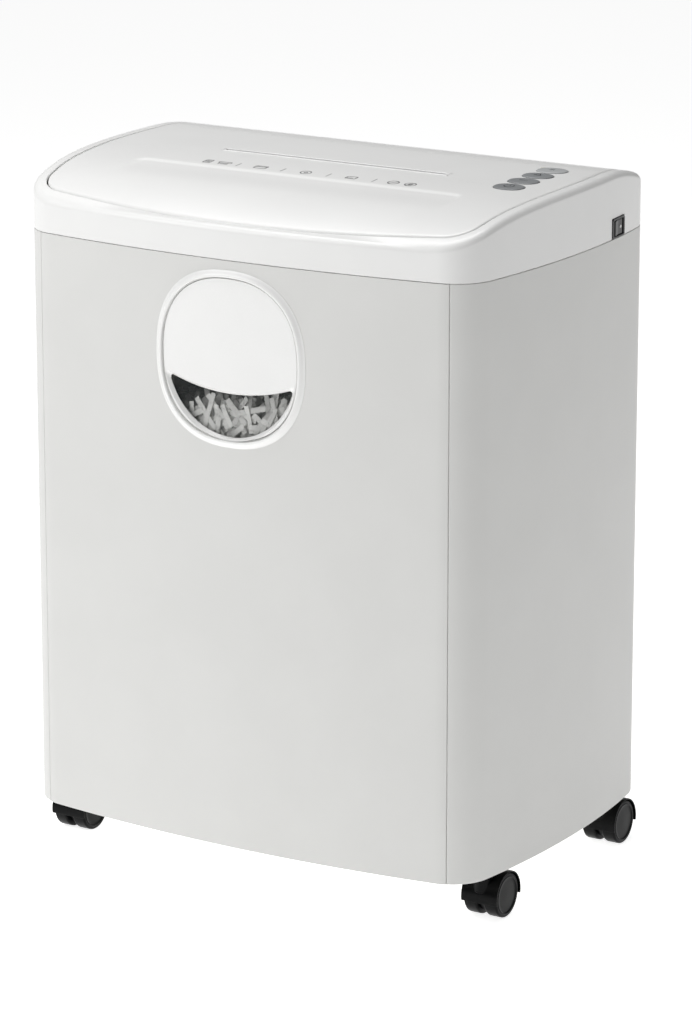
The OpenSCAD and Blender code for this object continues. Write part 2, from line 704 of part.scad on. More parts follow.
side_shell_left();
side_shell_right();
back_panel();
base_plate();
bin_rails();
cutter_deck();
cutter_side_plate_left();
cutter_side_plate_right();
tie_rods();
cutter_bushes();
stripper_combs();
throat_guide();
gearbox_plate();
motor_can();
motor_end_bell();
feed_belts();
control_board();
interlock_switch();
power_inlet();
case_screws();
head_rim();
feed_tray();
lid_hinge_pins();
switch_housing();
lid_cover();
lid_inner_panel();
slot_liner();
key_board();
led_lens();
key_power();
key_reverse();
key_auto();
key_forward();
power_rocker();
bin_front_panel();
window_bezel();
window_cover();
window_pane();
bin_tub();
front_cutter();
front_sync_gear();
rear_cutter();
rear_sync_gear();
output_gear();
reduction_gear();
motor_rotor();
front_feed_roller();
rear_feed_roller();
caster_hood_fl();
caster_hood_fr();
caster_hood_rl();
caster_hood_rr();
wheel_fl_outer();
wheel_fl_inner();
wheel_fr_outer();
wheel_fr_inner();
wheel_rl_outer();
wheel_rl_inner();
wheel_rr_outer();
wheel_rr_inner();
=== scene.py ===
"""Looks of an auto-feed paper shredder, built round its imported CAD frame.

Lengths are millimetres in the row frame until a mesh is written, which is in metres.
"""
import json
import logging
import math
from collections.abc import Callable
from dataclasses import dataclass, field
from enum import Enum

import bmesh
import bpy
import numpy as np
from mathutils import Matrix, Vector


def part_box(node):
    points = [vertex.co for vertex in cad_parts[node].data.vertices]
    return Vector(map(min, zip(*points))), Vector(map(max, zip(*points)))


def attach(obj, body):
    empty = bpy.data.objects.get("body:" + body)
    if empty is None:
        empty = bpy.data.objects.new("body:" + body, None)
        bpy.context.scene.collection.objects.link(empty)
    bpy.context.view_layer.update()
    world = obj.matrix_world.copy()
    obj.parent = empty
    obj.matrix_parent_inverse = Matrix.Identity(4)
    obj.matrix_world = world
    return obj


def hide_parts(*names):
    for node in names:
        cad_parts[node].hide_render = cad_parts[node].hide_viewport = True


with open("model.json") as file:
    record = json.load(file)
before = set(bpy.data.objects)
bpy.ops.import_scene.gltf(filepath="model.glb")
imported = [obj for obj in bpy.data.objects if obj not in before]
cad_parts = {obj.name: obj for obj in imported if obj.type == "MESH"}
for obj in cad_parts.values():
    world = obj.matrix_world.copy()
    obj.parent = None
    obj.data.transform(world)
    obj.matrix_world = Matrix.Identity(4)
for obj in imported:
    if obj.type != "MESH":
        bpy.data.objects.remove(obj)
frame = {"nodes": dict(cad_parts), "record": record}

LOG = logging.getLogger("shredder")
MM = 0.001
Array = np.ndarray


# ---------------------------------------------------------------- shared geometry


def box_mm(node: str) -> tuple[Array, Array]:
    """Lowest and highest corner of a CAD node, in mm."""
    low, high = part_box(node)
    return np.array(low) / MM, np.array(high) / MM


def linear(hex_colour: str) -> tuple[float, float, float, float]:
    """Turns an sRGB hex colour into linear RGBA.

    Args:
        hex_colour: Six hex digits, with or without a leading #.

    Returns:
        Linear red, green, blue and an alpha of 1.
    """
    digits = hex_colour.lstrip("#")
    parts = [int(digits[k:k + 2], 16) / 255 for k in (0, 2, 4)]
    return tuple([c / 12.92 if c <= 0.04045 else ((c + 0.055) / 1.055) ** 2.4 for c in parts] + [1.0])


def spans(*stops: float, step: float | tuple[float, ...] = 4.0) -> Array:
    """Values from the first stop to the last that pass through every stop.

    Args:
        stops: The values to pass through, in order.
        step: Largest step, one for all spans or one for each.

    Returns:
        All the values, each stop once.
    """
    steps = step if isinstance(step, tuple) else (step,) * (len(stops) - 1)
    parts = [np.linspace(a, b, max(1, math.ceil(abs(b - a) / s)) + 1)[:-1]
             for a, b, s in zip(stops[:-1], stops[1:], steps)]
    return np.concatenate([*parts, [stops[-1]]])


def quarter(radius: float, steps: int = 5) -> tuple[Array, Array]:
    """A quarter round from a flat top to an upright side.

    Args:
        radius: Radius of the round.
        steps: Number of facets.

    Returns:
        How far in from the side each point lies, and how far it has dropped below the top.
    """
    turn = np.linspace(0, math.pi / 2, steps + 1)
    return radius * (1 - np.sin(turn)), radius * (1 - np.cos(turn))


def round_corners(points: Array, radius: float | Array, steps: int = 4) -> Array:
    """Replaces each corner of a closed polygon by an arc that is tangent to both its sides.

    Each arc's centre lies on the bisector, radius / sin(half angle) from the corner.

    Args:
        points: Corners, (n, 2).
        radius: One radius, or one for each corner.
        steps: Facets in each arc.

    Returns:
        The rounded polygon, (n * (steps + 1), 2).
    """
    corner = np.asarray(points, float)
    r = np.broadcast_to(np.asarray(radius, float), len(corner))[:, None]
    back = np.roll(corner, 1, 0) - corner
    ahead = np.roll(corner, -1, 0) - corner
    back /= np.linalg.norm(back, axis=1, keepdims=True)
    ahead /= np.linalg.norm(ahead, axis=1, keepdims=True)
    half = np.arccos(np.clip((back * ahead).sum(1, keepdims=True), -1, 1)) / 2
    middle = (back + ahead) / np.linalg.norm(back + ahead, axis=1, keepdims=True)
    centre = corner + middle * r / np.sin(half)
    reach = r / np.tan(half)
    first, last = corner + back * reach - centre, corner + ahead * reach - centre
    sweep = (math.pi - 2 * half)[:, None, :]
    part = np.linspace(0, 1, steps + 1)[None, :, None]
    turned = np.sin((1 - part) * sweep) * first[:, None] + np.sin(part * sweep) * last[:, None]
    return (centre[:, None] + turned / np.sin(sweep)).reshape(-1, 2)


def densify(loop: Array, step: float) -> Array:
    """Splits the sides of a closed loop so that none is longer than step."""
    ahead = np.roll(loop, -1, 0)
    counts = np.maximum(1, np.ceil(np.linalg.norm(ahead - loop, axis=1) / step)).astype(int)
    side = np.repeat(np.arange(len(loop)), counts)
    part = (np.arange(counts.sum()) - np.repeat(np.cumsum(counts) - counts, counts)) / counts[side]
    return loop[side] + (ahead[side] - loop[side]) * part[:, None]


def rectangle(half_x: float, half_y: float, x: float = 0.0, y: float = 0.0) -> Array:
    """Corners of a rectangle about (x, y), counter-clockwise from the lowest, (4, 2)."""
    return np.array([[-1, -1], [1, -1], [1, 1], [-1, 1]]) * [half_x, half_y] + [x, y]


def level(points: Array, z: float | Array) -> Array:
    """Points with one more coordinate, the same for all or one for each: (n, 2) to (n, 3)."""
    return np.column_stack([points, np.broadcast_to(z, len(points))])


def circle(radius: float, steps: int, x: float = 0.0, y: float = 0.0) -> Array:
    """Points of a circle about (x, y): (r cos t, r sin t)."""
    turn = np.linspace(0, 2 * math.pi, steps, endpoint=False)
    return radius * np.column_stack([np.cos(turn), np.sin(turn)]) + [x, y]


def grid_faces(rows: int, cols: int, wrap_rows: bool = False, wrap_cols: bool = False) -> Array:
    """Quads of a grid whose vertex (i, j) has the number i * cols + j.

    Args:
        rows: Number of rows.
        cols: Number of columns.
        wrap_rows: The last row joins the first.
        wrap_cols: The last column joins the first.

    Returns:
        Vertex numbers, (n, 4).
    """
    i = np.arange(rows if wrap_rows else rows - 1)[:, None]
    j = np.arange(cols if wrap_cols else cols - 1)[None, :]
    i2, j2 = (i + 1) % rows, (j + 1) % cols
    quads = np.broadcast_arrays(i * cols + j, i * cols + j2, i2 * cols + j2, i2 * cols + j)
    return np.stack(quads, -1).reshape(-1, 4)


@dataclass
class Solid:
    """A closed mesh in mm: quads, and flat caps of more corners."""

    points: Array
    quads: Array
    caps: list[Array] = field(default_factory=list)

    def outward(self) -> "Solid":
        """Turns the faces outwards, by the sign of the volume that they enclose."""
        fans = [self.quads[:, [0, 1, 2]], self.quads[:, [0, 2, 3]]]
        fans += [np.column_stack([np.full(len(c) - 2, c[0]), c[1:-1], c[2:]]) for c in self.caps]
        a, b, c = np.moveaxis(self.points[np.concatenate(fans)], 1, 0)
        if np.einsum("ij,ij->i", a, np.cross(b, c)).sum() >= 0:
            return self
        return Solid(self.points, self.quads[:, ::-1], [cap[::-1] for cap in self.caps])

    def moved(self, x: float = 0, y: float = 0, z: float = 0) -> "Solid":
        """A copy moved by (x, y, z) mm."""
        return Solid(self.points + np.array([x, y, z]), self.quads, self.caps)

    def turned(self, angle: float, x: float, y: float) -> "Solid":
        """A copy turned about an upright axis at (x, y) by an angle in radians."""
        c, s = math.cos(angle), math.sin(angle)
        flat = (self.points[:, :2] - [x, y]) @ np.array([[c, s], [-s, c]]) + [x, y]
        return Solid(np.column_stack([flat, self.points[:, 2]]), self.quads, self.caps)

    def mirrored(self) -> "Solid":
        """A copy mirrored in x, with its faces outwards again."""
        return Solid(self.points * [-1, 1, 1], self.quads[:, ::-1], [cap[::-1] for cap in self.caps])


def join(solids: list[Solid]) -> Solid:
    """Several solids as one mesh, each with its faces outwards."""
    turned = [s.outward() for s in solids]
    starts = np.cumsum([0] + [len(s.points) for s in turned[:-1]])
    return Solid(np.concatenate([s.points for s in turned]),
                 np.concatenate([s.quads + k for s, k in zip(turned, starts)]),
                 [cap + k for s, k in zip(turned, starts) for cap in s.caps])


def tube(rings: Array, closed: bool = False) -> Solid:
    """A surface through closed rings of points, capped at both ends unless its rings close on themselves.

    Args:
        rings: (number of rings, points in a ring, 3).
        closed: The last ring joins the first.

    Returns:
        The closed solid.
    """
    rows, cols = rings.shape[:2]
    ends = [] if closed else [np.arange(cols)[::-1], np.arange(cols) + (rows - 1) * cols]
    return Solid(rings.reshape(-1, 3), grid_faces(rows, cols, closed, True), ends)


def thicken(outer: Array, inner: Array, faces: Array) -> Solid:
    """Closes a sheet: outer side, inner side, and a wall along every edge that only one face uses.

    Args:
        outer: Points of the outer side, (n, 3).
        inner: The same points on the inner side.
        faces: Quads over those points.

    Returns:
        The closed solid.
    """
    count = len(outer)
    edges = np.concatenate([faces[:, [k, (k + 1) % 4]] for k in range(4)])
    lone = edges[~np.isin(edges[:, 0] * count + edges[:, 1], edges[:, 1] * count + edges[:, 0])]
    walls = np.column_stack([lone[:, 1], lone[:, 0], lone[:, 0] + count, lone[:, 1] + count])
    return Solid(np.vstack([outer, inner]), np.vstack([faces, faces[:, ::-1] + count, walls]))


def lathe(profile: Array, steps: int = 64) -> Solid:
    """Turns a profile about the X axis: point = (along, r cos t, r sin t).

    Args:
        profile: (radius, along) pairs. Its two ends are capped flat.
        steps: Points around.

    Returns:
        The closed solid.
    """
    turn = np.linspace(0, 2 * math.pi, steps, endpoint=False)
    r, along = profile[:, :1], profile[:, 1:]
    rings = np.stack(np.broadcast_arrays(along, r * np.cos(turn), r * np.sin(turn)), -1)
    return tube(rings)


def block(low: tuple[float, float, float], high: tuple[float, float, float], edge: float = 0.4) -> Solid:
    """A box with rounded upright edges and chamfered rims.

    Args:
        low: Lowest corner.
        high: Highest corner.
        edge: Radius of the edges.

    Returns:
        The closed solid.
    """
    (x0, y0, z0), (x1, y1, z1) = low, high
    corners = np.array([[x0, y0], [x1, y0], [x1, y1], [x0, y1]])
    middle, rim = corners.mean(0), 0.6 * edge
    full = round_corners(corners, edge, 3)
    small = middle + (full - middle) * (1 - rim / np.abs(corners - middle).max(0))
    return tube(np.stack([level(small, z0), level(full, z0 + rim), level(full, z1 - rim),
                          level(small, z1)]))


def oval(half_w: float, half_h: float, turn: Array, power: float = 2.0) -> Array:
    """Points of a superellipse: (a cos^(2/p) t, b sin^(2/p) t), signs kept."""
    c, s = np.cos(turn), np.sin(turn)
    return np.column_stack([half_w * np.sign(c) * np.abs(c) ** (2 / power),
                            half_h * np.sign(s) * np.abs(s) ** (2 / power)])


# ---------------------------------------------------------------- finishes


def add(tree: bpy.types.NodeTree, kind: str, settings: dict | None = None,
        links: dict | None = None) -> bpy.types.Node:
    """Adds a node with its settings and links.

    Args:
        tree: The material's node tree.
        kind: Blender's name of the node.
        settings: Attribute or input names and their values.
        links: Input names or numbers and the sockets that feed them.

    Returns:
        The node.
    """
    node = tree.nodes.new(kind)
    for key, value in (settings or {}).items():
        if isinstance(key, str) and hasattr(node, key):
            setattr(node, key, value)
        else:
            node.inputs[key].default_value = value
    for key, socket in (links or {}).items():
        tree.links.new(socket, node.inputs[key])
    return node


def per_metre(size_mm: float) -> float:
    """Texture scale whose features are size_mm across."""
    return 1 / (size_mm * MM)


@dataclass(frozen=True)
class Finish:
    """A surface finish: what every material here shares.

    Fields: the material's name, its two close colours, the size of their drift, the shader's own
    roughness, metallic, IOR and coat, and the fine grain that bumps the surface.
    """

    name: str
    colour: str
    drift_colour: str
    drift_mm: float = 60.0
    roughness: float = 0.45
    roughness_swing: float = 0.05
    metallic: float = 0.0
    ior: float = 1.5
    coat: float = 0.0
    grain_mm: float = 0.6
    grain_depth_mm: float = 0.01
    stretch: tuple[float, float, float] = (1.0, 1.0, 1.0)

    def made(self) -> bpy.types.Material:
        """Makes the material once, and finds it again after that."""
        found = bpy.data.materials.get(self.name)
        return found if found else self.make()

    def make(self) -> bpy.types.Material:
        """Builds the shared node tree: drift of colour, swing of roughness, and grain.

        Returns:
            The new material.
        """
        material = bpy.data.materials.new(self.name)
        material.use_nodes = True
        tree = material.node_tree
        tree.nodes.clear()
        place = add(tree, "ShaderNodeTexCoord").outputs["Object"]
        along = add(tree, "ShaderNodeMapping", {"Scale": self.stretch}, {"Vector": place}).outputs[0]
        drift = add(tree, "ShaderNodeTexNoise", {"Scale": per_metre(self.drift_mm), "Detail": 3.0},
                    {"Vector": place}).outputs["Fac"]
        grain = add(tree, "ShaderNodeTexNoise", {"Scale": per_metre(self.grain_mm), "Detail": 4.0},
                    {"Vector": along}).outputs["Fac"]
        colour = self.colour_of(tree, place, drift)
        swing = add(tree, "ShaderNodeMapRange", {"To Min": self.roughness - self.roughness_swing,
                                                 "To Max": self.roughness + self.roughness_swing},
                    {"Value": grain}).outputs[0]
        bump = add(tree, "ShaderNodeBump", {"Strength": 0.6, "Distance": self.grain_depth_mm * MM},
                   {"Height": grain}).outputs[0]
        shader = add(tree, "ShaderNodeBsdfPrincipled",
                     {"Metallic": self.metallic, "IOR": self.ior, "Coat Weight": self.coat},
                     {"Base Color": colour, "Roughness": swing, "Normal": bump})
        self.settle(shader)
        add(tree, "ShaderNodeOutputMaterial", links={"Surface": shader.outputs[0]})
        return material

    def colour_of(self, tree: bpy.types.NodeTree, place: bpy.types.NodeSocket,
                  drift: bpy.types.NodeSocket) -> bpy.types.NodeSocket:
        """Base colour: the two close colours, mixed by the slow drift."""
        ramp = add(tree, "ShaderNodeValToRGB", links={"Fac": drift})
        ramp.color_ramp.elements[0].position = 0.35
        ramp.color_ramp.elements[1].position = 0.65
        ramp.color_ramp.elements[0].color = linear(self.colour)
        ramp.color_ramp.elements[1].color = linear(self.drift_colour)
        return ramp.outputs["Color"]

    def settle(self, shader: bpy.types.Node) -> None:
        """Sets what only this finish has on the shader's own sockets."""


@dataclass(frozen=True)
class ClearPlastic(Finish):
    """Injection-moulded clear polystyrene: see-through, with a hard gloss and faint haze."""

    alpha: float = 0.1

    def settle(self, shader: bpy.types.Node) -> None:
        """Lets most of what is behind show through."""
        shader.inputs["Alpha"].default_value = self.alpha


@dataclass(frozen=True)
class CircuitBoard(Finish):
    """Solder mask over copper: green with paler tracks, laid out as a brick pattern."""

    track_mm: float = 6.0

    def colour_of(self, tree: bpy.types.NodeTree, place: bpy.types.NodeSocket,
                  drift: bpy.types.NodeSocket) -> bpy.types.NodeSocket:
        """Base colour: tracks between bricks, in the drift colour."""
        turned = add(tree, "ShaderNodeMapping", {"Rotation": (0.0, math.pi / 2, 0.3)}, {"Vector": place})
        return add(tree, "ShaderNodeTexBrick",
                   {"Scale": per_metre(self.track_mm * 2), "Color1": linear(self.colour),
                    "Color2": linear(self.colour), "Mortar": linear(self.drift_colour),
                    "Mortar Size": 0.04}, {"Vector": turned.outputs[0]}).outputs["Color"]


@dataclass(frozen=True)
class CutPaper(Finish):
    """Shredded copier paper: white, some of it grey with print, matt and fibrous."""

    print_mm: float = 9.0

    def colour_of(self, tree: bpy.types.NodeTree, place: bpy.types.NodeSocket,
                  drift: bpy.types.NodeSocket) -> bpy.types.NodeSocket:
        """Base colour: white paper with patches of grey specks."""
        specks = add(tree, "ShaderNodeTexVoronoi", {"Scale": per_metre(1.1)}, {"Vector": place})
        patches = add(tree, "ShaderNodeTexNoise", {"Scale": per_metre(self.print_mm), "Detail": 1.0},
                      {"Vector": place})
        near = add(tree, "ShaderNodeMapRange", {"From Min": 0.18, "From Max": 0.34, "To Min": 1.0,
                                                "To Max": 0.0}, {"Value": specks.outputs["Distance"]})
        where = add(tree, "ShaderNodeMapRange", {"From Min": 0.52, "From Max": 0.6},
                    {"Value": patches.outputs["Fac"]})
        inked = add(tree, "ShaderNodeMath", {"operation": "MULTIPLY"},
                    {0: near.outputs[0], 1: where.outputs[0]})
        ramp = add(tree, "ShaderNodeValToRGB", links={"Fac": inked.outputs[0]})
        ramp.color_ramp.elements[0].color = linear(self.colour)
        ramp.color_ramp.elements[1].color = linear(self.drift_colour)
        return ramp.outputs["Color"]


class Finishes:
    """Every finish of the machine, by the real material and how its surface was made."""

    # ABS with a fine spark-eroded mould texture: satin, so highlights spread softly.
    cabinet_white = Finish("moulded_abs_cabinet_white", "#DCDCDA", "#DADAD8", roughness=0.42)
    # The same ABS from a polished mould: the head and lid catch a sharper highlight.
    head_white = Finish("moulded_abs_head_white", "#EFEFEE", "#EDEDEC", roughness=0.33, coat=0.1,
                        grain_depth_mm=0.006)
    # The window's ring and plate, from a polished mould: brighter, with a clear sheen.
    trim_white = Finish("polished_abs_trim_white", "#F3F3F2", "#F1F1F0", roughness=0.26, coat=0.2,
                        grain_depth_mm=0.004)
    # Polypropylene from a plain mould: a dull, slightly waxy grey.
    base_grey = Finish("moulded_pp_base_grey", "#C8C7C3", "#C2C1BD", roughness=0.55, grain_mm=0.9)
    # Fine-textured ABS: an even, warm pale grey that hides paper dust.
    tray_grey = Finish("moulded_abs_tray_grey", "#DBD9D3", "#D6D4CE", roughness=0.5, grain_mm=0.8)
    # Coarse-grained polypropylene: mid grey, its grain breaks up the light.
    bin_grey = Finish("moulded_pp_bin_grey", "#B3B2AE", "#ABAAA6", roughness=0.5, grain_mm=0.9,
                      grain_depth_mm=0.02)
    # Clear polystyrene: the eye sees through it to the shreds, with a faint smoky veil.
    clear_window = ClearPlastic("clear_polystyrene_window", "#565B5B", "#4C5151", roughness=0.06,
                                roughness_swing=0.02, ior=1.59, grain_mm=3.0, grain_depth_mm=0.002)
    # Diffusing polystyrene: an off-white dot that looks milky when the lamp is out.
    lens = ClearPlastic("clear_polystyrene_lens", "#F4F3EA", "#EDECE2", roughness=0.2, alpha=1.0)
    # ABS coloured in the mass: neutral mid grey with a satin dome.
    key_grey = Finish("moulded_abs_key_grey", "#8C8E90", "#858789", roughness=0.38, grain_mm=0.4)
    # The same ABS with more white in it, so that the fourth key reads paler.
    key_pale = Finish("moulded_abs_key_pale_grey", "#B4B6B7", "#AEB0B1", roughness=0.38, grain_mm=0.4)
    # Glass-filled nylon: near black, its gloss slightly broken.
    switch_black = Finish("moulded_nylon_switch_black", "#161718", "#1B1C1D", roughness=0.32,
                          grain_mm=0.5)
    # Nylon from a polished mould: very dark, with only weak reflections of the floor.
    caster_black = Finish("moulded_nylon_caster_black", "#050607", "#08090A", roughness=0.3, ior=1.2,
                          roughness_swing=0.06, grain_mm=0.7, grain_depth_mm=0.02)
    # Cast polyurethane: soft black with a low sheen.
    tread_black = Finish("moulded_polyurethane_tread_black", "#111214", "#18191B", roughness=0.5,
                         grain_mm=0.5, grain_depth_mm=0.03)
    # Cold-rolled steel: dull metal with its grain drawn out along the sheet.
    plate_steel = Finish("rolled_steel_plate", "#8D9194", "#9A9EA1", metallic=1.0, roughness=0.4,
                         grain_mm=0.5, stretch=(1.0, 0.06, 1.0), drift_mm=25.0)
    # Hardened steel ground round the shaft: bright, with fine rings.
    cutter_steel = Finish("ground_cutter_steel", "#9DA1A5", "#868B90", metallic=1.0, roughness=0.28,
                          grain_mm=0.3, stretch=(6.0, 1.0, 1.0), drift_mm=14.0)
    # Bright steel turned on a lathe: sharp highlights along the rod.
    rod_steel = Finish("turned_bright_steel", "#A9ADB0", "#9A9EA2", metallic=1.0, roughness=0.25,
                       grain_mm=0.25, stretch=(8.0, 1.0, 1.0), drift_mm=18.0)
    # Sintered bronze: brown-gold with a fine open grain.
    bronze = Finish("sintered_bronze", "#B08D57", "#9C7A48", metallic=1.0, roughness=0.5,
                    grain_mm=0.4, grain_depth_mm=0.03, drift_mm=6.0)
    # Natural nylon: cream and faintly uneven, as uncoloured mouldings are.
    gear_nylon = Finish("moulded_nylon_natural", "#E6E2D1", "#DCD8C5", roughness=0.4, drift_mm=20.0)
    # Ground rubber: matt dark grey, rough enough to grip paper.
    roller_rubber = Finish("ground_rubber_roller", "#3A3B3C", "#323334", roughness=0.75,
                           grain_mm=0.5, grain_depth_mm=0.05)
    # Moulded neoprene: matt and nearly black.
    belt_rubber = Finish("moulded_neoprene_belt", "#262626", "#2E2E2E", roughness=0.7, grain_mm=0.6,
                         grain_depth_mm=0.04)
    # Zinc-plated drawn steel: a pale, cloudy metal.
    motor_steel = Finish("zinc_plated_drawn_steel", "#A0A4A7", "#B2B5B4", metallic=1.0, roughness=0.36,
                         grain_mm=0.8, drift_mm=12.0)
    # Phenolic moulding: dark grey with a dry surface.
    motor_black = Finish("moulded_phenolic_black", "#2C2D2F", "#353638", roughness=0.5)
    # Solder mask over etched copper: glossy green with paler tracks.
    board_green = CircuitBoard("solder_mask_green", "#1F5B3C", "#4E8A63", roughness=0.35)
    # Dark ABS: even grey, chosen so that the paper's edge shows against it.
    guide_grey = Finish("moulded_abs_guide_grey", "#5C5F62", "#54575A", roughness=0.5)
    # Copier paper: matt white fibres, with grey specks where there was print.
    paper = CutPaper("shredded_copier_paper", "#EDEDEA", "#6F7072", roughness=0.85, grain_mm=0.3,
                     grain_depth_mm=0.03)
    # Pad-printed ink: dead matt and nearly black, a hair above the plastic.
    ink = Finish("pad_printed_ink_dark_grey", "#2A2B2D", "#333436", roughness=0.6, grain_mm=0.3)
    # White pad-printed ink: a flat mark on the black rocker.
    dot_white = Finish("pad_printed_ink_white", "#E8E8E6", "#DDDDDB", roughness=0.5, grain_mm=0.3)

    @classmethod
    def by_slot(cls) -> dict[str, Finish]:
        """The finish that stands for each of the record's material slots."""
        slots = {"shell_white": cls.cabinet_white, "lid_white": cls.head_white, "lens_clear": cls.lens}
        for slot in ("trim_white", "base_grey", "tray_grey", "bin_grey", "clear_window", "key_grey",
                     "switch_black", "caster_black", "tread_black", "plate_steel", "cutter_steel",
                     "rod_steel", "bronze", "gear_nylon", "roller_rubber", "belt_rubber",
                     "motor_steel", "motor_black", "board_green", "guide_grey"):
            slots[slot] = getattr(cls, slot)
        return slots


# ---------------------------------------------------------------- pieces


def add_piece(name: str, solid: Solid, finish: Finish, body: str, slot: str | None = None,
              replaces: tuple[str, ...] = (), sharp: float = 38.0) -> bpy.types.Object:
    """Writes a solid as a mesh object, dresses it and rides it on its body.

    Args:
        name: The piece's name.
        solid: Its closed mesh, in mm.
        finish: What it is made of.
        body: The CAD body that it moves with.
        slot: The record's material slot; not used.
        replaces: The CAD nodes that it stands for.
        sharp: Edges that turn by more degrees than this stay sharp.

    Returns:
        The new object.
    """
    solid = solid.outward()
    mesh = bpy.data.meshes.new(name)
    faces = solid.quads.tolist() + [cap.tolist() for cap in solid.caps]
    mesh.from_pydata((solid.points * MM).tolist(), [], faces)
    work = bmesh.new()
    work.from_mesh(mesh)
    bmesh.ops.remove_doubles(work, verts=work.verts, dist=2e-6)
    bmesh.ops.recalc_face_normals(work, faces=work.faces)
    work.to_mesh(mesh)
    work.free()
    if mesh.validate():
        LOG.warning("%s had faults in its mesh", name)
    mesh.polygons.foreach_set("use_smooth", np.ones(len(mesh.polygons), bool))
    mesh.set_sharp_from_angle(angle=math.radians(sharp))
    piece = bpy.data.objects.new(name, mesh)
    bpy.context.scene.collection.objects.link(piece)
    even = piece.modifiers.new("even_normals", "WEIGHTED_NORMAL")
    even.keep_sharp = True
    mesh.materials.append(finish.made())
    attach(piece, body)
    if replaces:
        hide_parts(*replaces)
    LOG.info("%s: %d faces on %s", name, len(mesh.polygons), body)
    return piece


# ---------------------------------------------------------------- the body's outline


@dataclass
class Stations:
    """Places along an outline: an arc's centre and radius, and the outward normal there."""

    centre: Array
    radius: Array
    normal: Array

    def at(self, inset: float | Array) -> Array:
        """Points (x, y) that lie an inset within the outline.

        Args:
            inset: One inset, or (stations, m) or (1, m) of them.

        Returns:
            (stations, 2), or (stations, m, 2).
        """
        depth = np.asarray(inset, float)
        if depth.ndim == 0:
            return self.centre + (self.radius - depth)[:, None] * self.normal
        return self.centre[:, None] + (self.radius[:, None] - depth)[..., None] * self.normal[:, None]


@dataclass(frozen=True)
class Outline:
    """Plan of the body: a bowed front, corners, bowed sides, back corners and a flat back.

    The arcs meet at a tangent. Distances along it run from the front's middle, and are
    negative on the left.
    """

    half_width: float
    front_y: float
    back_y: float
    back_r: float
    front_r: float = 1290.0
    corner_r: float = 38.0
    side_r: float = 830.0
    side_turn: float = math.radians(81)

    def arcs(self) -> list[tuple[float, float, float, float, float]]:
        """Centre x and y, radius, and first and last direction of each arc of the right half."""
        swing = self.side_r - self.corner_r
        corner_x = self.half_width - self.side_r + swing * math.sin(self.side_turn)
        front_turn = math.asin(corner_x / (self.front_r - self.corner_r))
        corner_y = self.front_y + self.front_r - (self.front_r - self.corner_r) * math.cos(front_turn)
        side_x = corner_x - swing * math.sin(self.side_turn)
        side_y = corner_y + swing * math.cos(self.side_turn)
        reach = self.side_r - self.back_r
        back_turn = math.acos(-(self.back_y - self.back_r - side_y) / reach)
        back_x = side_x + reach * math.sin(back_turn)
        return [(0.0, self.front_y + self.front_r, self.front_r, 0.0, front_turn),
                (corner_x, corner_y, self.corner_r, front_turn, self.side_turn),
                (side_x, side_y, self.side_r, self.side_turn, back_turn),
                (back_x, self.back_y - self.back_r, self.back_r, back_turn, math.pi)]

    def ends(self) -> Array:
        """Distance at which each arc of the right half starts, and the last two ends."""
        arcs = self.arcs()
        lengths = [r * (b - a) for _, _, r, a, b in arcs] + [arcs[-1][0]]
        return np.concatenate([[0.0], np.cumsum(lengths)])

    def stations(self, along: Array) -> Stations:
        """Places at given distances along the outline.

        Args:
            along: Signed distances from the front's middle.

        Returns:
            The stations.
        """
        ends, table = self.ends(), np.array(self.arcs() + [(0.0, 0.0, 1.0, 0.0, 0.0)])
        far = np.clip(np.abs(along), 0, ends[-1])
        k = np.clip(np.searchsorted(ends, far, side="right") - 1, 0, len(table) - 1)
        left = far - ends[k]
        flat = k == len(table) - 1
        back_x, back_cy, back_r = table[-2, :3]
        turn = np.where(flat, math.pi, table[k, 3] + left / table[k, 2])
        centre = np.where(flat[:, None], np.column_stack([back_x - left, np.full(len(far), back_cy)]),
                          table[k, :2])
        side = np.where(np.asarray(along) < 0, -1.0, 1.0)
        centre[:, 0] *= side
        normal = np.column_stack([side * np.sin(turn), -np.cos(turn)])
        return Stations(centre, np.where(flat, back_r, table[k, 2]), normal)

    def where_x(self, x: float, inset: float) -> float:
        """Distance along the front's right half at which the inset outline has an x."""
        ends = self.ends()
        dense = np.linspace(0, (ends[1] + ends[2]) / 2, 3000)
        return float(np.interp(x, self.stations(dense).at(inset)[:, 0], dense))

    def where_y(self, y: Array, inset: float) -> Array:
        """Distance along the right side at which the inset outline has each y."""
        ends = self.ends()
        dense = np.linspace((ends[1] + ends[2]) / 2, (ends[3] + ends[4]) / 2, 6000)
        return np.interp(y, self.stations(dense).at(inset)[:, 1], dense)

    def front_at(self, x: Array, inset: float | Array = 0.0) -> Array:
        """y of the front at each x, an inset within the outline."""
        arcs = self.arcs()
        (_, front_cy, front_r, _, _), (corner_x, corner_y, corner_r, turn, _) = arcs[:2]
        r0, r1 = front_r - inset, corner_r - inset
        join_x = r0 * math.sin(turn)
        bow = front_cy - np.sqrt(r0 ** 2 - np.minimum(np.abs(x), join_x) ** 2)
        tip = np.clip(np.abs(x) - corner_x, 0, r1)
        return np.where(np.abs(x) <= join_x, bow, corner_y - np.sqrt(np.maximum(r1 ** 2 - tip ** 2, 0)))


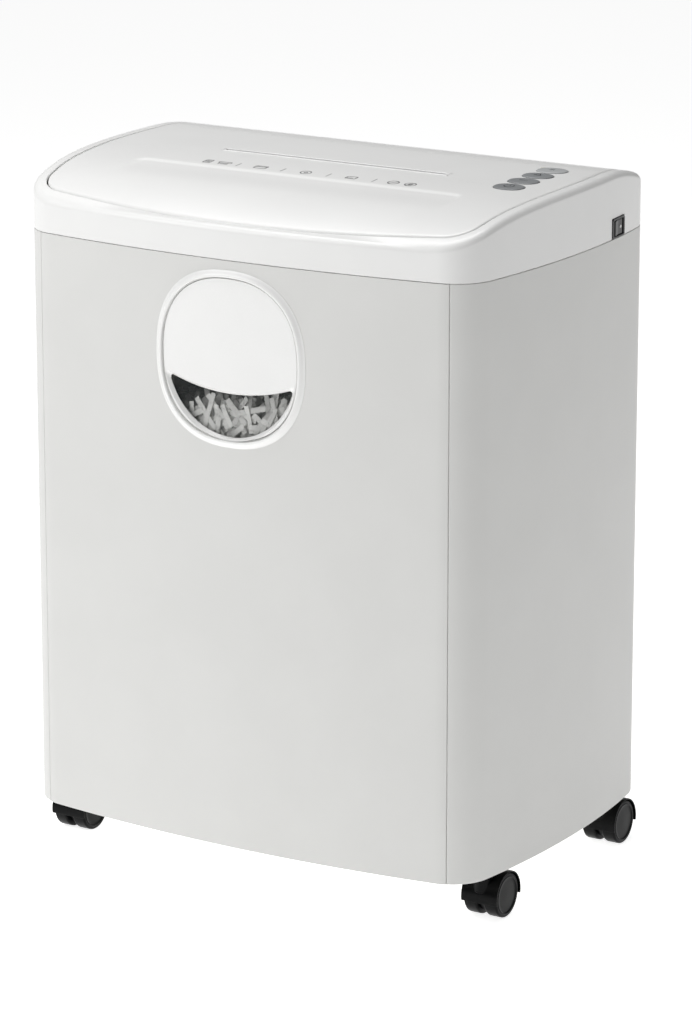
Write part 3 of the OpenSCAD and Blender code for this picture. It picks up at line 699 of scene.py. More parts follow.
@dataclass
class Plan:
    """The machine's leading sizes, from the frame: its outlines, its levels and its head's top."""

    front_rise: float = 28.0
    climb_from: float = 12.0
    crest_rise: float = 27.0
    rise_length: float = 45.0
    tail_fall: float = 0.0026
    tail_y: float = 70.0
    wall: float = 2.6
    body_back_r: float = 41.0
    rim_land: float = 11.0
    lid_gap: float = 1.2
    lid_back_r: float = 32.0
    opening_back_r: float = 20.0

    def __post_init__(self) -> None:
        """Reads widths, depths and levels from the CAD nodes' boxes."""
        rim_low, rim_high = box_mm("head_rim")
        shell_low, shell_high = box_mm("side_shell_right")
        self.seam_z = rim_low[2]
        self.cabinet_z = shell_low[2]
        self.cabinet_top = shell_high[2]
        self.back_y = rim_high[1]
        self.front_y = rim_low[1]
        self.half_width = round((rim_high[0] - rim_low[0]) / 2 + 0.04, 1)
        lid_back = box_mm("lid_cover")[1][1]
        self.body = Outline(self.half_width, self.front_y, self.back_y, self.body_back_r)
        edge = self.rim_land + self.lid_gap
        self.lid = Outline(self.half_width, self.front_y, lid_back + edge, self.lid_back_r + edge)
        self.opening = Outline(self.half_width, self.front_y, self.back_y,
                               self.opening_back_r + self.rim_land)

    def top(self, y: Array) -> Array:
        """Height of the head's top: it climbs as 1 - e^(-t) from the front, then falls as a parabola."""
        climb = np.maximum(0, np.asarray(y) - self.front_y - self.climb_from)
        tail = np.maximum(0, np.asarray(y) - self.tail_y)
        return self.seam_z + self.front_rise + self.crest_rise * (1 - np.exp(-climb / self.rise_length)) \
            - self.tail_fall * tail ** 2


# ---------------------------------------------------------------- cabinet


@dataclass
class Cabinet:
    """The two side shells and the slotted rear cover. The rear cover's screws are CAD nodes."""

    plan: Plan
    edge: float = 0.8
    split_x: float = 196.3
    slot_rows: int = 10
    slot_pitch: float = 7.0
    slot_h: float = 3.0
    slot_z: float = 462.0
    slot_x: tuple[float, ...] = (-100.0, -34.0, -26.0, 40.0)
    inlet: tuple[float, float] = (150.0, 96.0)
    inlet_half: tuple[float, float] = (17.2, 13.2)

    def side(self) -> Solid:
        """Right side shell: a rounded wall section carried from the front split to the rear cover."""
        plan = self.plan
        ends = plan.body.ends()
        start = plan.body.where_x(self.split_x, 0.0)
        stop = ends[4] - 0.2
        inward, _ = quarter(self.edge)
        bends = spans(start + self.edge, ends[2], ends[3], stop - self.edge, step=(2.4, 9.0, 2.4))
        along = np.concatenate([start + inward[::-1], bends[1:-1], stop - inward])
        from_end = np.minimum(along - start, stop - along)
        short = np.maximum(0, self.edge - from_end)
        bite = self.edge - np.sqrt(np.maximum(0, self.edge ** 2 - short ** 2))
        corners = np.array([[0, plan.cabinet_z], [0, plan.cabinet_top],
                            [plan.wall, plan.cabinet_top], [plan.wall, plan.cabinet_z]])
        wall = densify(round_corners(corners, self.edge), 60.0)
        inset = np.clip(wall[None, :, 0], bite[:, None], plan.wall - bite[:, None] / 2)
        flat = plan.body.stations(along).at(inset)
        rings = np.dstack([flat, np.broadcast_to(wall[:, 1], inset.shape)])
        return tube(rings)

    def rear(self) -> Solid:
        """Rear cover: a sheet on a grid whose cells leave out the vents and the inlet."""
        plan = self.plan
        low, high = box_mm("back_panel")
        (inlet_x, inlet_z), (inlet_w, inlet_h) = self.inlet, self.inlet_half
        slot_low = self.slot_z + self.slot_pitch * np.arange(self.slot_rows)
        xs = np.unique(np.concatenate([[inlet_x - inlet_w, inlet_x + inlet_w, *self.slot_x],
                                       spans(low[0], high[0], step=30.0)]))
        zs = np.unique(np.concatenate([[high[2], inlet_z - inlet_h, inlet_z + inlet_h], slot_low,
                                       slot_low + self.slot_h, spans(low[2], self.slot_z, step=30.0)]))
        mid_x, mid_z = (xs[1:] + xs[:-1]) / 2, (zs[1:] + zs[:-1]) / 2
        up = mid_z - self.slot_z
        in_row = (up > 0) & (up < self.slot_rows * self.slot_pitch) & (up % self.slot_pitch < self.slot_h)
        a, b, c, d = self.slot_x
        in_col = ((mid_x > a) & (mid_x < b)) | ((mid_x > c) & (mid_x < d))
        hole = in_row[:, None] & in_col[None]
        hole |= (np.abs(mid_z - inlet_z) < inlet_h)[:, None] & (np.abs(mid_x - inlet_x) < inlet_w)[None]
        faces = grid_faces(len(zs), len(xs))[~hole.ravel()]
        used, faces = np.unique(faces, return_inverse=True)
        faces = faces.reshape(-1, 4)
        grid_x, grid_z = np.meshgrid(xs, zs)
        outer = np.column_stack([grid_x.ravel(), np.full(grid_x.size, high[1]), grid_z.ravel()])[used]
        return thicken(outer, outer - [0, plan.wall, 0], faces)

    def build(self) -> None:
        """Makes the cabinet's visible shells."""
        right = self.side()
        for side, shell in (("right", right), ("left", right.mirrored())):
            add_piece(f"cabinet_side_{side}", shell, Finishes.cabinet_white, "cabinet", "shell_white",
                      (f"side_shell_{side}",))
        rear = add_piece("rear_cover", self.rear(), Finishes.cabinet_white, "cabinet", "shell_white",
                         ("back_panel",))
        soften(rear, 0.35)


def soften(piece: bpy.types.Object, width_mm: float) -> None:
    """Puts a small bevel on a piece's sharp edges, ahead of its even normals."""
    bevel = piece.modifiers.new("soft_edges", "BEVEL")
    bevel.width = width_mm * MM
    bevel.segments = 2
    bevel.limit_method = "ANGLE"
    bevel.angle_limit = math.radians(50)
    piece.modifiers.move(len(piece.modifiers) - 1, 0)


# ---------------------------------------------------------------- head


@dataclass
class Head:
    """The rim round the lid, which carries the mains switch."""

    plan: Plan
    shoulder: float = 5.5
    land_t: float = 3.0
    switch_y: float = 82.5
    switch_half: float = 13.2
    notch_h: float = 17.4

    def along(self) -> Array:
        """Distances along the outline, closer together round the corners."""
        e = self.plan.body.ends()
        jambs = self.plan.body.where_y(self.switch_y + np.array([-1, 1]) * (self.switch_half - 0.1), 0.4)
        half = spans(0.0, e[1], e[2], *jambs, e[3], e[4], e[5], step=(8.0, 2.2, 6.0, 6.0, 6.0, 2.4, 12.0))
        return np.concatenate([half[:-1], [e[5]], -half[1:-1][::-1]])

    def rim(self) -> Solid:
        """Rim: a wall with a round shoulder and an inward land, carried round the outline.

        The shoulder and land hang from the head's top at their own y, and the wall stands on the
        seam. Quads are left out where the mains switch stands, and a lintel and two jambs close them.
        """
        plan = self.plan
        along = self.along()
        stations = plan.body.stations(along)
        matched = np.sign(along) * np.interp(np.abs(along), plan.body.ends(), plan.opening.ends())
        opening = plan.opening.stations(matched)
        into, drop = quarter(self.shoulder, 7)
        roll_in, roll_dz = quarter(1.0, 3)
        wall_in = np.concatenate([[0.4, 0.0, 0.0], into[::-1]])
        wall_dz = np.concatenate([[0.0, 0.0, 0.0], drop[::-1]])
        land_in = plan.rim_land - np.concatenate([[1.8], roll_in, [0.0, 5.0]])
        land_dz = np.concatenate([[0.0], roll_dz, [self.land_t, self.land_t]])
        back_in = plan.wall + np.array([0.6, 0.0, 0.0, 0.0])
        back_dz = np.array([self.land_t, self.land_t + 0.6, 0.0, 0.0])
        flat = np.concatenate([stations.at(wall_in[None]), opening.at(land_in[None]),
                               stations.at(back_in[None])], 1)
        z = plan.top(flat[..., 1]) - np.concatenate([wall_dz, land_dz, back_dz])[None]
        z[:, :3] = plan.seam_z + np.array([0.0, 0.4, self.notch_h])
        z[:, -2:] = plan.seam_z + np.array([self.notch_h, 0.0])
        rows, cols = z.shape
        quads = grid_faces(rows, cols, True, True).reshape(rows, cols, 4)
        side = (flat[:, 0, 0] > 0) & (np.abs(flat[:, 0, 1] - self.switch_y) < self.switch_half)
        gone = np.flatnonzero(side & np.roll(side, -1))
        keep = np.ones((rows, cols), bool)
        low_cols = [cols - 2, cols - 1, 0, 1]
        keep[np.ix_(gone, low_cols)] = False
        here, after = gone * cols, (gone + 1) * cols
        lintel = np.stack([here + 2, here + cols - 2, after + cols - 2, after + 2], 1)
        jamb = np.array([cols - 2, cols - 1, 0, 1, 2])
        caps = [gone[0] * cols + jamb, (gone[-1] + 1) * cols + jamb[::-1]]
        return Solid(np.dstack([flat, z]).reshape(-1, 3), np.vstack([quads[keep], lintel]), caps)

    def build(self) -> None:
        """Makes the rim."""
        add_piece("head_surround", self.rim(), Finishes.head_white, "cabinet", "lid_white", ("head_rim",))


# ---------------------------------------------------------------- drawer and window


def weld(points: Array, faces: Array) -> tuple[Array, Array]:
    """Merges points of a sheet that lie within 0.001 mm of each other."""
    _, first, where = np.unique(np.round(points, 3), axis=0, return_index=True, return_inverse=True)
    return points[first], where.ravel()[faces]


def rim_of(xs: Array, ys: Array) -> Array:
    """Points round a grid's edge, counter-clockwise from its lowest corner."""
    return np.concatenate([level(xs[:-1], ys[0]), level(ys[:-1], xs[-1])[:, ::-1],
                           level(xs[:0:-1], ys[-1]), level(ys[:0:-1], xs[0])[:, ::-1]])


def patched_sheet(xs: Array, ys: Array,
                  patches: list[tuple[tuple[float, ...], Callable[[Array], list[Array]]]]
                  ) -> tuple[Array, Array]:
    """A flat grid in which rectangles give way to rings of quads round a hole.

    Args:
        xs: Grid lines across.
        ys: Grid lines up.
        patches: For each hole, the rectangle (x0, x1, y0, y1) on grid lines, and a function that
            turns the rectangle's rim points into the loops inside it, outermost first.

    Returns:
        Welded points (n, 2) and quads.
    """
    gx, gy = np.meshgrid(xs, ys)
    grid = np.column_stack([gx.ravel(), gy.ravel()])
    mid_x, mid_y = np.meshgrid((xs[1:] + xs[:-1]) / 2, (ys[1:] + ys[:-1]) / 2)
    keep = np.ones(mid_x.shape, bool)
    points, faces = [], []
    for (x0, x1, y0, y1), loops in patches:
        keep &= ~((mid_x > x0) & (mid_x < x1) & (mid_y > y0) & (mid_y < y1))
        rim = rim_of(xs[(xs > x0 - 1e-6) & (xs < x1 + 1e-6)], ys[(ys > y0 - 1e-6) & (ys < y1 + 1e-6)])
        rows = np.stack([rim, *loops(rim)])
        faces.append(grid_faces(len(rows), len(rim), wrap_cols=True) + sum(len(p) for p in points))
        points.append(rows.reshape(-1, 2))
    start = sum(len(p) for p in points)
    faces.append(grid_faces(len(ys), len(xs))[keep.ravel()] + start)
    return weld(np.vstack([*points, grid]), np.vstack(faces))


def ring_loops(rim: Array, centre: Array, half: Array, grow: tuple[float, ...], power: float = 2.0,
               rows: int = 4) -> list[Array]:
    """Loops between a rectangle's rim and an oval hole, at the rim points' own directions.

    Args:
        rim: Points of the rectangle's rim.
        centre: The oval's centre.
        half: The oval's half axes.
        grow: How much larger than the hole each of the last loops is, in mm.
        power: Exponent of the superellipse.
        rows: Loops between the rim and the first of those.

    Returns:
        The loops, outermost first.
    """
    away = rim - centre
    way = away / np.linalg.norm(away, axis=1, keepdims=True)

    def on_oval(axes: Array) -> Array:
        """The loop's points moved straight out or in to a superellipse."""
        return centre + way / ((np.abs(way) / axes) ** power).sum(1, keepdims=True) ** (1 / power)

    first = on_oval(half + grow[0])
    blend = [rim + (first - rim) * k / rows for k in range(1, rows)]
    return blend + [on_oval(half + g) for g in grow]


@dataclass
class Window:
    """The round window of the drawer: a raised ring, a white plate with a crescent cut out of it."""

    plan: Plan
    centre_z: float = 460.0
    ring_out: tuple[float, float] = (71.5, 74.0)
    ring_in: tuple[float, float] = (65.5, 68.0)
    plate: tuple[float, float] = (64.2, 66.7)
    power: float = 2.35
    bowl: tuple[float, float] = (61.5, 456.0)
    lip: tuple[float, float] = (176.0, 607.0)
    tip_r: float = 2.2
    tip_room: float = 5.5
    skew: float = 0.12
    cover_rows: int = 13

    def ring(self) -> Solid:
        """Ring: its section climbs from the panel in an S and rolls over at the inner edge."""
        out, inn = np.array(self.ring_out), np.array(self.ring_in)
        part = np.linspace(0, 1, 9)
        slope_in = 4.6 * part
        slope_up = 0.35 + 2.45 * (part ** 2 * (3 - 2 * part))
        roll = np.linspace(0, math.pi / 2, 6)[1:]
        width = float((out - inn)[0])
        inset = np.concatenate([[0.0], slope_in, width - 0.9 + 0.9 * np.sin(roll), [width]])
        proud = np.concatenate([[0.0], slope_up, 1.9 + 0.9 * np.cos(roll), [0.0]])
        turn = np.linspace(0, 2 * math.pi, 180, endpoint=False)
        rings = np.stack([oval(out[0] - k, out[1] - k, turn, self.power) for k in inset], 1)
        x, z = rings[..., 0], rings[..., 1]
        return tube(np.dstack([x, self.plan.body.front_at(x) - proud, z + self.centre_z]), closed=True)

    def crescent(self, spread: float, steps: int = 40) -> Array:
        """The crescent's rim, between a bowl and a shallower lip, with round tips.

        Args:
            spread: How far outside the opening the loop runs.
            steps: Points along each of the two arcs.

        Returns:
            The loop, starting at the right tip and running over the lip, (n, 2) in x and z.
        """
        r0, z0 = self.bowl[0] + spread, self.bowl[1]
        r1, z1 = self.lip[0] - spread, self.lip[1]
        tip_z = ((r0 ** 2 - r1 ** 2) / (z1 - z0) + z0 + z1) / 2
        tip_x = math.sqrt(r0 ** 2 - (tip_z - z0) ** 2)
        a1 = math.asin((tip_x - self.tip_room) / r1)
        a0 = math.atan2(tip_x, z0 - tip_z) - self.tip_room / r0
        upper, lower = np.linspace(a1, -a1, steps), np.linspace(-a0, a0, steps)
        loop = np.vstack([[[tip_x, tip_z]],
                          np.column_stack([r1 * np.sin(upper), z1 - r1 * np.cos(upper)]),
                          [[-tip_x, tip_z]],
                          np.column_stack([r0 * np.sin(lower), z0 - r0 * np.cos(lower)])])
        radius = np.full(len(loop), 0.05)
        radius[[0, steps + 1]] = self.tip_r
        return round_corners(loop, radius, 4)

    def cover(self) -> Solid:
        """Plate: ruled from the crescent's rim out to the oval's edge, following the panel's bow."""
        loop = self.crescent(2.0)
        tip = len(loop) // 2
        far = math.pi + self.skew
        share = np.concatenate([np.linspace(-self.skew, far, tip),
                                np.linspace(far, 2 * math.pi - self.skew, len(loop) - tip + 1)[1:]])
        a, b = self.plate

        def edge(inset: float) -> Array:
            """The plate's oval edge, an inset within it."""
            return oval(a - inset, b - inset, share, self.power) + [0.0, self.centre_z]

        start, stop = self.crescent(2.4), edge(0.7)
        inner = self.crescent(0.0)
        part = np.linspace(0, 1, self.cover_rows)[:, None, None]
        rows = np.concatenate([inner[None], loop[None], start + (stop - start) * part,
                               np.stack([edge(0.2), edge(0.0), edge(0.0)])])
        proud = np.concatenate([[-1.6, 0.6], np.full(self.cover_rows, 1.0), [0.8, 0.3, -1.4]])
        flat = rows.reshape(-1, 2)
        y = self.plan.body.front_at(flat[:, 0])
        outer = np.column_stack([flat[:, 0], y - np.repeat(proud, len(loop)), flat[:, 1]])
        back = np.column_stack([flat[:, 0], y + 2.3, flat[:, 1]])
        return thicken(outer, back, grid_faces(len(rows), len(loop), wrap_cols=True))

    def build(self) -> None:
        """Makes the ring and the plate."""
        for name, solid, node in (("window_ring", self.ring(), "window_bezel"),
                                  ("window_plate", self.cover(), "window_cover")):
            add_piece(name, solid, Finishes.trim_white, "bin_drawer", "trim_white", (node,))


@dataclass
class Drawer:
    """The pull-out waste drawer: its front, its tub and the shreds in it."""

    plan: Plan
    half_hole: tuple[float, float] = (64.5, 67.0)
    centre_z: float = 460.0
    power: float = 2.35
    window_patch: tuple[float, float, float, float] = (-78.0, 78.0, 382.0, 538.0)
    window_strips: int = 460
    window_room: tuple[float, float, float] = (65.0, 387.5, 444.0)
    pane_room: float = 5.0
    heap_strips: int = 1500
    heap_half_x: float = 176.0
    heap_room: tuple[float, float, float] = (174.0, -141.0, 104.0)
    bed_z: float = 300.0
    heap_top: float = 440.0
    strip: tuple[float, float, float] = (4.4, 38.0, 0.14)
    rib_x: float = 150.0
    rib_z: tuple[float, float] = (72.0, 440.0)
    tub_y: float = -145.0
    grip: tuple[float, float, float] = (43.0, 46.0, -148.0)

    def front(self) -> Solid:
        """Front panel: a bowed sheet with an oval hole, two ribs to the tub, and a grip lip below."""
        low, high = box_mm("bin_front_panel")
        half = min(-low[0], high[0])
        xs = spans(-half, -186, -78, 78, 186, half, step=(2.0, 9.0, 5.2, 9.0, 2.0))
        zs = spans(low[2], 382.0, 538.0, high[2], step=(9.0, 5.2, 3.0))
        centre, axes = np.array([0.0, self.centre_z]), np.array(self.half_hole)

        def loops(rim: Array) -> list[Array]:
            """Loops from the patch's rim to the oval hole."""
            return ring_loops(rim, centre, axes, (1.0, 0.0), self.power)

        points, faces = patched_sheet(xs, zs, [(self.window_patch, loops)])
        x, z = points.T
        outer = np.column_stack([x, self.plan.body.front_at(x), z])
        inner = np.column_stack([x, self.plan.body.front_at(x, self.plan.wall), z])
        behind = float(self.plan.body.front_at(np.array([self.rib_x]), 1.6)[0])
        ribs = [block((side * self.rib_x - 1.5, behind, self.rib_z[0]),
                      (side * self.rib_x + 1.5, self.tub_y, self.rib_z[1])) for side in (-1, 1)]
        low_z, high_z, deep_y = self.grip
        lip = block((-self.rib_x, behind, low_z), (self.rib_x, deep_y, high_z))
        return join([thicken(outer, inner, faces), *ribs, lip])

    def strips(self, middle: Array, lie: Array, tilt: float, bend: float, seed: int) -> Array:
        """Curled strips of paper as rings of four corners, seven along each.

        Each runs along its own direction and bends about its width by a random curl.

        Args:
            middle: Middles, (n, 3).
            lie: Mean direction of the strips' normals.
            tilt: How far the normals stray from it.
            bend: How far a strip bows, in mm.
            seed: Seed of the random draws.

        Returns:
            Corner points, (n, 7, 4, 3).
        """
        rng = np.random.default_rng(seed)
        count = len(middle)
        normal = np.asarray(lie) + rng.normal(0, tilt, (count, 3))
        normal /= np.linalg.norm(normal, axis=1, keepdims=True)
        along = np.cross(normal, rng.normal(0, 1, (count, 3)))
        along /= np.linalg.norm(along, axis=1, keepdims=True)
        across = np.cross(normal, along)
        width, length, thick = self.strip
        s = np.linspace(-0.5, 0.5, 7)[None, :, None]
        curl = rng.normal(0, bend, (count, 1, 1))
        sway = rng.normal(0, 0.4 * bend, (count, 1, 1))
        size = length * rng.uniform(0.35, 1.0, (count, 1, 1))
        line = middle[:, None] + along[:, None] * s * size + normal[:, None] * curl * (4 * s ** 2 - 0.5) \
            + across[:, None] * sway * np.sin(6 * s)
        half_w, half_t = across[:, None] * width / 2, normal[:, None] * thick / 2
        return np.stack([line + half_w + half_t, line - half_w + half_t, line - half_w - half_t,
                         line + half_w - half_t], 2)

    def paper(self, corners: Array) -> Solid:
        """All the strips as one mesh of closed slips."""
        count, rows, cols = corners.shape[:3]
        quads = grid_faces(rows, cols, wrap_cols=True)
        ends = np.array([[3, 2, 1, 0], (rows - 1) * cols + np.arange(4)])
        one = np.vstack([quads, ends])
        faces = (one[None] + (np.arange(count) * rows * cols)[:, None, None]).reshape(-1, 4)
        return Solid(corners.reshape(-1, 3), faces)

    def window_shreds(self) -> Solid:
        """Shreds against the window, piled higher on the right, kept behind the pane."""
        rng = np.random.default_rng(11)
        x = rng.uniform(-60, 60, self.window_strips)
        top = 416 + 0.2 * x
        y = rng.uniform(-156, -132, self.window_strips)
        z = 390 + rng.uniform(0, 1, self.window_strips) * (top - 390)
        middle = np.column_stack([x, y, z])
        corners = self.strips(middle, np.array([0.0, -1.0, 0.25]), 0.14, 0.5, 12)
        nearest = self.plan.body.front_at(corners[..., 0]) + self.pane_room
        half_x, low_z, high_z = self.window_room
        corners[..., 1] = np.maximum(corners[..., 1], nearest)
        corners[..., 2] = np.clip(corners[..., 2], low_z, high_z)
        corners[..., 0] = np.clip(corners[..., 0], -half_x, half_x)
        return self.paper(corners)

    def heap(self) -> Solid:
        """Heap in the tub: loose strips over a mound of them."""
        rng = np.random.default_rng(5)
        x, y = rng.uniform(-160, 160, self.heap_strips), rng.uniform(-128, 92, self.heap_strips)
        z = self.mound(x, y) + rng.uniform(-2, 5, self.heap_strips)
        corners = self.strips(np.column_stack([x, y, z]), np.array([0.0, 0.0, 1.0]), 0.3, 4.0, 6)
        half_x, front, back = self.heap_room
        corners[..., 0] = np.clip(corners[..., 0], -half_x, half_x)
        corners[..., 1] = np.clip(corners[..., 1], front, back)
        corners[..., 2] = np.clip(corners[..., 2], self.bed_z, self.heap_top)
        return self.paper(corners)

    def mound(self, x: Array, y: Array) -> Array:
        """Height of the heap: a low dome with lumps."""
        dome = 402 - 44 * (np.abs(x) / self.heap_half_x) ** 2.4 - 26 * (np.abs(y + 20) / 124) ** 2.2
        return dome + 3.0 * np.sin(x / 11) * np.cos(y / 13) + 1.5 * np.sin(x / 5 + y / 7)

    def bed(self) -> Solid:
        """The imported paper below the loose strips: a lumpy sheet with a skirt down its sides."""
        half_x, front, back = self.heap_room
        xs, ys = spans(-half_x, half_x, step=3.0), spans(front + 1, back - 1, step=3.0)
        flat = np.column_stack([v.ravel() for v in np.meshgrid(xs, ys)])
        top = level(flat, self.mound(flat[:, 0], flat[:, 1]) - 3)
        return thicken(top, level(flat, self.bed_z), grid_faces(len(ys), len(xs)))

    def build(self) -> None:
        """Makes the drawer's front and its paper."""
        front = add_piece("drawer_front", self.front(), Finishes.cabinet_white, "bin_drawer",
                          "shell_white", ("bin_front_panel",))
        soften(front, 0.6)
        for name, solid in (("window", self.window_shreds()), ("heap", self.heap()),
                            ("bed", self.bed())):
            add_piece(f"shreds_{name}", solid, Finishes.paper, "bin_drawer", "trim_white")


# ---------------------------------------------------------------- lid and keys


class Key(Enum):
    """The four function keys, front to back."""

    POWER = "key_power"
    REVERSE = "key_reverse"
    AUTO = "key_auto"
    FORWARD = "key_forward"


@dataclass
class Lid:
    """The auto-feed lid with its hand slot, keys and pictograms."""

    plan: Plan
    edge_round: float = 2.2
    key_x: float = 177.0
    key_first_y: float = -16.5
    key_step: float = 24.5
    key_half: tuple[float, float] = (13.5, 10.5)
    key_power: float = 2.2
    slot_half: tuple[float, float] = (110.4, 4.0)
    slot_y: float = 3.0
    scoop: tuple[float, float, float] = (157.0, -54.0, 10.0)
    scoop_depth: float = 1.1
    scoop_step: float = 1.9
    scoop_fade: tuple[float, float] = (-100.0, 34.0)
    sign_y: float = -43.0
    line_w: float = 0.85
    skirt_z: float = 566.4
    grid: tuple[float, float, float] = (196.0, -126.0, 122.0)
    slot_patch: tuple[float, float] = (113.4, 8.0)
    key_patch: tuple[float, float] = (160.5, 193.5)
    key_room: float = 0.4
    band_rows: int = 9
    foot_blend: tuple[float, float] = (120.0, 4.0)

    def key_y(self, number: int) -> float:
        """y of a key's middle."""
        return self.key_first_y + self.key_step * number

    def surface(self, x: Array, y: Array) -> Array:
        """Height of the lid's face: the head's top, less a shallow scoop that fades forward."""
        half, back, round_r = self.scoop
        out_x, out_y = np.abs(x) - (half - round_r), y - (back - round_r)
        beyond = np.hypot(np.maximum(out_x, 0), np.maximum(out_y, 0)) \
            + np.minimum(np.maximum(out_x, out_y), 0)
        inside = np.clip((round_r - beyond) / self.scoop_step, 0, 1)
        fade_y, fade_l = self.scoop_fade
        fade = np.clip((y - fade_y) / fade_l, 0, 1)
        smooth = inside ** 2 * (3 - 2 * inside) * fade ** 2 * (3 - 2 * fade)
        return self.plan.top(y) - self.scoop_depth * smooth

    def cover(self) -> Solid:
        """Lid: a fine grid with holes for keys and slot, a band out to its outline, an edge and a skirt.

        The band blends each point of the grid's rim with the point as far along the outline's side.
        """
        plan = self.plan
        half_x, front, back = self.grid
        sx, sy = self.slot_patch
        xs = spans(-half_x, -sx, sx, *self.key_patch, half_x, step=(2.0, 2.2, 2.2, 1.5, 1.5))
        key_lines = [self.key_y(k) - self.key_step / 2 for k in range(5)]
        even = spans(front, self.slot_y - sy, self.slot_y + sy, back, step=(2.0, 1.6, 2.0))
        clear = np.abs(even[:, None] - np.array(key_lines)).min(1) > 0.5
        ys = np.sort(np.concatenate([even[clear], key_lines]))
        axes, grow = np.array(self.key_half) + self.key_room, (0.7, 0.2, 0.0)

        def key_loops(rim: Array) -> list[Array]:
            """Loops from a patch's rim to the key's oval hole in its middle."""
            return ring_loops(rim, (rim.max(0) + rim.min(0)) / 2, axes, grow, self.key_power, 2)

        patches = [((*self.key_patch, key_lines[k], key_lines[k + 1]), key_loops) for k in range(4)]
        slot_mid, slot_axes = np.array([0.0, self.slot_y]), np.array(self.slot_half) - 1.0
        near = [ys[np.argmin(np.abs(ys - v))] for v in (self.slot_y - sy, self.slot_y + sy)]

        def slot_loops(rim: Array) -> list[Array]:
            """Loops from the patch's rim to the slot."""
            away = rim - slot_mid
            goal = slot_mid + np.clip(away, -slot_axes, slot_axes)
            return [rim + (goal - rim) * k / 3 for k in range(1, 4)]

        patches.append(((-sx, sx, near[0], near[1]), slot_loops))
        points, faces = patched_sheet(xs, ys, patches)
        ends = plan.lid.ends()
        f, b = (ends[1] + ends[2]) / 2, (ends[3] + ends[4]) / 2
        edge = plan.rim_land + plan.lid_gap
        nx, ny = (xs + half_x) / (2 * half_x), (ys - front) / (back - front)
        back_along = b + nx * 2 * (ends[5] - b)
        back_along = np.where(back_along > ends[5], back_along - 2 * ends[5], back_along)
        along = np.concatenate([(-f + 2 * f * nx)[:-1], (f + (b - f) * ny)[:-1], back_along[:-1],
                                (-b + (b - f) * ny)[:-1]])
        rim = rim_of(xs, ys)
        stations = plan.lid.stations(along)
        into, drop = quarter(self.edge_round, 6)
        first = stations.at(edge + self.edge_round)
        part = np.linspace(0, 1, self.band_rows)[:, None, None]
        rows = np.concatenate([rim + (first - rim) * part,
                               np.stack([stations.at(edge + k) for k in [*into[1:], 0.0]])])
        depth = np.concatenate([np.zeros(self.band_rows), drop[1:], [0.0]])
        top = self.surface(rows[..., 0], rows[..., 1]) - depth[:, None]
        foot_y, foot_l = self.foot_blend
        foot = np.clip((rows[-1, :, 1] - foot_y) / foot_l, 0, 1)
        under = plan.top(rows[-1, :, 1]) - plan.wall
        top[-1] = self.skirt_z * (1 - foot) + np.maximum(under, self.skirt_z) * foot
        within = [stations.at(edge + max(k, plan.wall)) for k in [*into[1:], 0.0]]
        inner_rows = np.concatenate([rows[:self.band_rows], np.stack(within)])
        inner_top = plan.top(inner_rows[..., 1]) - plan.wall
        inner_top[-1] = top[-1]
        inner_top[:-1] = np.maximum(inner_top[:-1], top[-1][None])
        z = self.surface(points[:, 0], points[:, 1])
        outer = np.vstack([level(points, z), level(rows.reshape(-1, 2), top.ravel())])
        inner = np.vstack([level(points, plan.top(points[:, 1]) - plan.wall),
                           level(inner_rows.reshape(-1, 2), inner_top.ravel())])
        band = grid_faces(len(rows), len(rim), wrap_cols=True)[:, ::-1]
        faces = np.vstack([faces, band + len(points)])
        _, one, where = np.unique(np.round(outer, 3), axis=0, return_index=True, return_inverse=True)
        return thicken(outer[one], inner[one], where.ravel()[faces])

    def slot_lip(self) -> Solid:
        """Hand slot's lip: a low rolled bead that dives into the slot."""
        plan = self.plan
        low, _ = box_mm("slot_liner")
        half_x, half_y = self.slot_half
        section = np.array([[0.0, 0.05], [0.5, 0.35], [1.0, 0.4], [1.35, 0.1], [1.5, -0.8], [1.5, -6.0],
                            [0.9, -6.0], [0.6, -2.8], [0.0, -0.6]])
        loops = []
        for inset, rise in section:
            corners = rectangle(half_x - inset, half_y - inset, 0.0, self.slot_y)
            loop = densify(round_corners(corners, max(half_y - inset - 0.1, 0.5), 5), 12.0)
            loops.append(level(loop, np.maximum(plan.top(loop[:, 1]) + rise, low[2])))
        return tube(np.stack(loops), closed=True)

    def key(self, number: int) -> Solid:
        """Key: an oval with a round shoulder and a low dome that follows the lid's slope."""
        middle = np.array([self.key_x, self.key_y(number)])
        turn = np.linspace(0, 2 * math.pi, 72, endpoint=False)
        scale = np.array([1.0, 1.0, 0.985, 0.95, 0.9, 0.75, 0.55, 0.35, 0.15])
        rise = np.array([-3.0, 0.1, 0.5, 0.78, 0.9, 1.05, 1.15, 1.2, 1.22])
        shape = oval(*self.key_half, turn, self.key_power)
        rings = middle + shape[None] * scale[:, None, None]
        z = self.plan.top(rings[..., 1]) + rise[:, None]
        return tube(np.dstack([rings, z]))

    def key_height(self, number: int, points: Array) -> Array:
        """Height of a key's dome at given points."""
        away = (points - [self.key_x, self.key_y(number)]) / np.array(self.key_half)
        far = np.clip(np.linalg.norm(away, axis=1), 0, 0.9)
        return self.plan.top(points[:, 1]) + np.interp(far, [0, 0.15, 0.35, 0.55, 0.75, 0.9],
                                                       [1.22, 1.22, 1.2, 1.15, 1.05, 0.9])

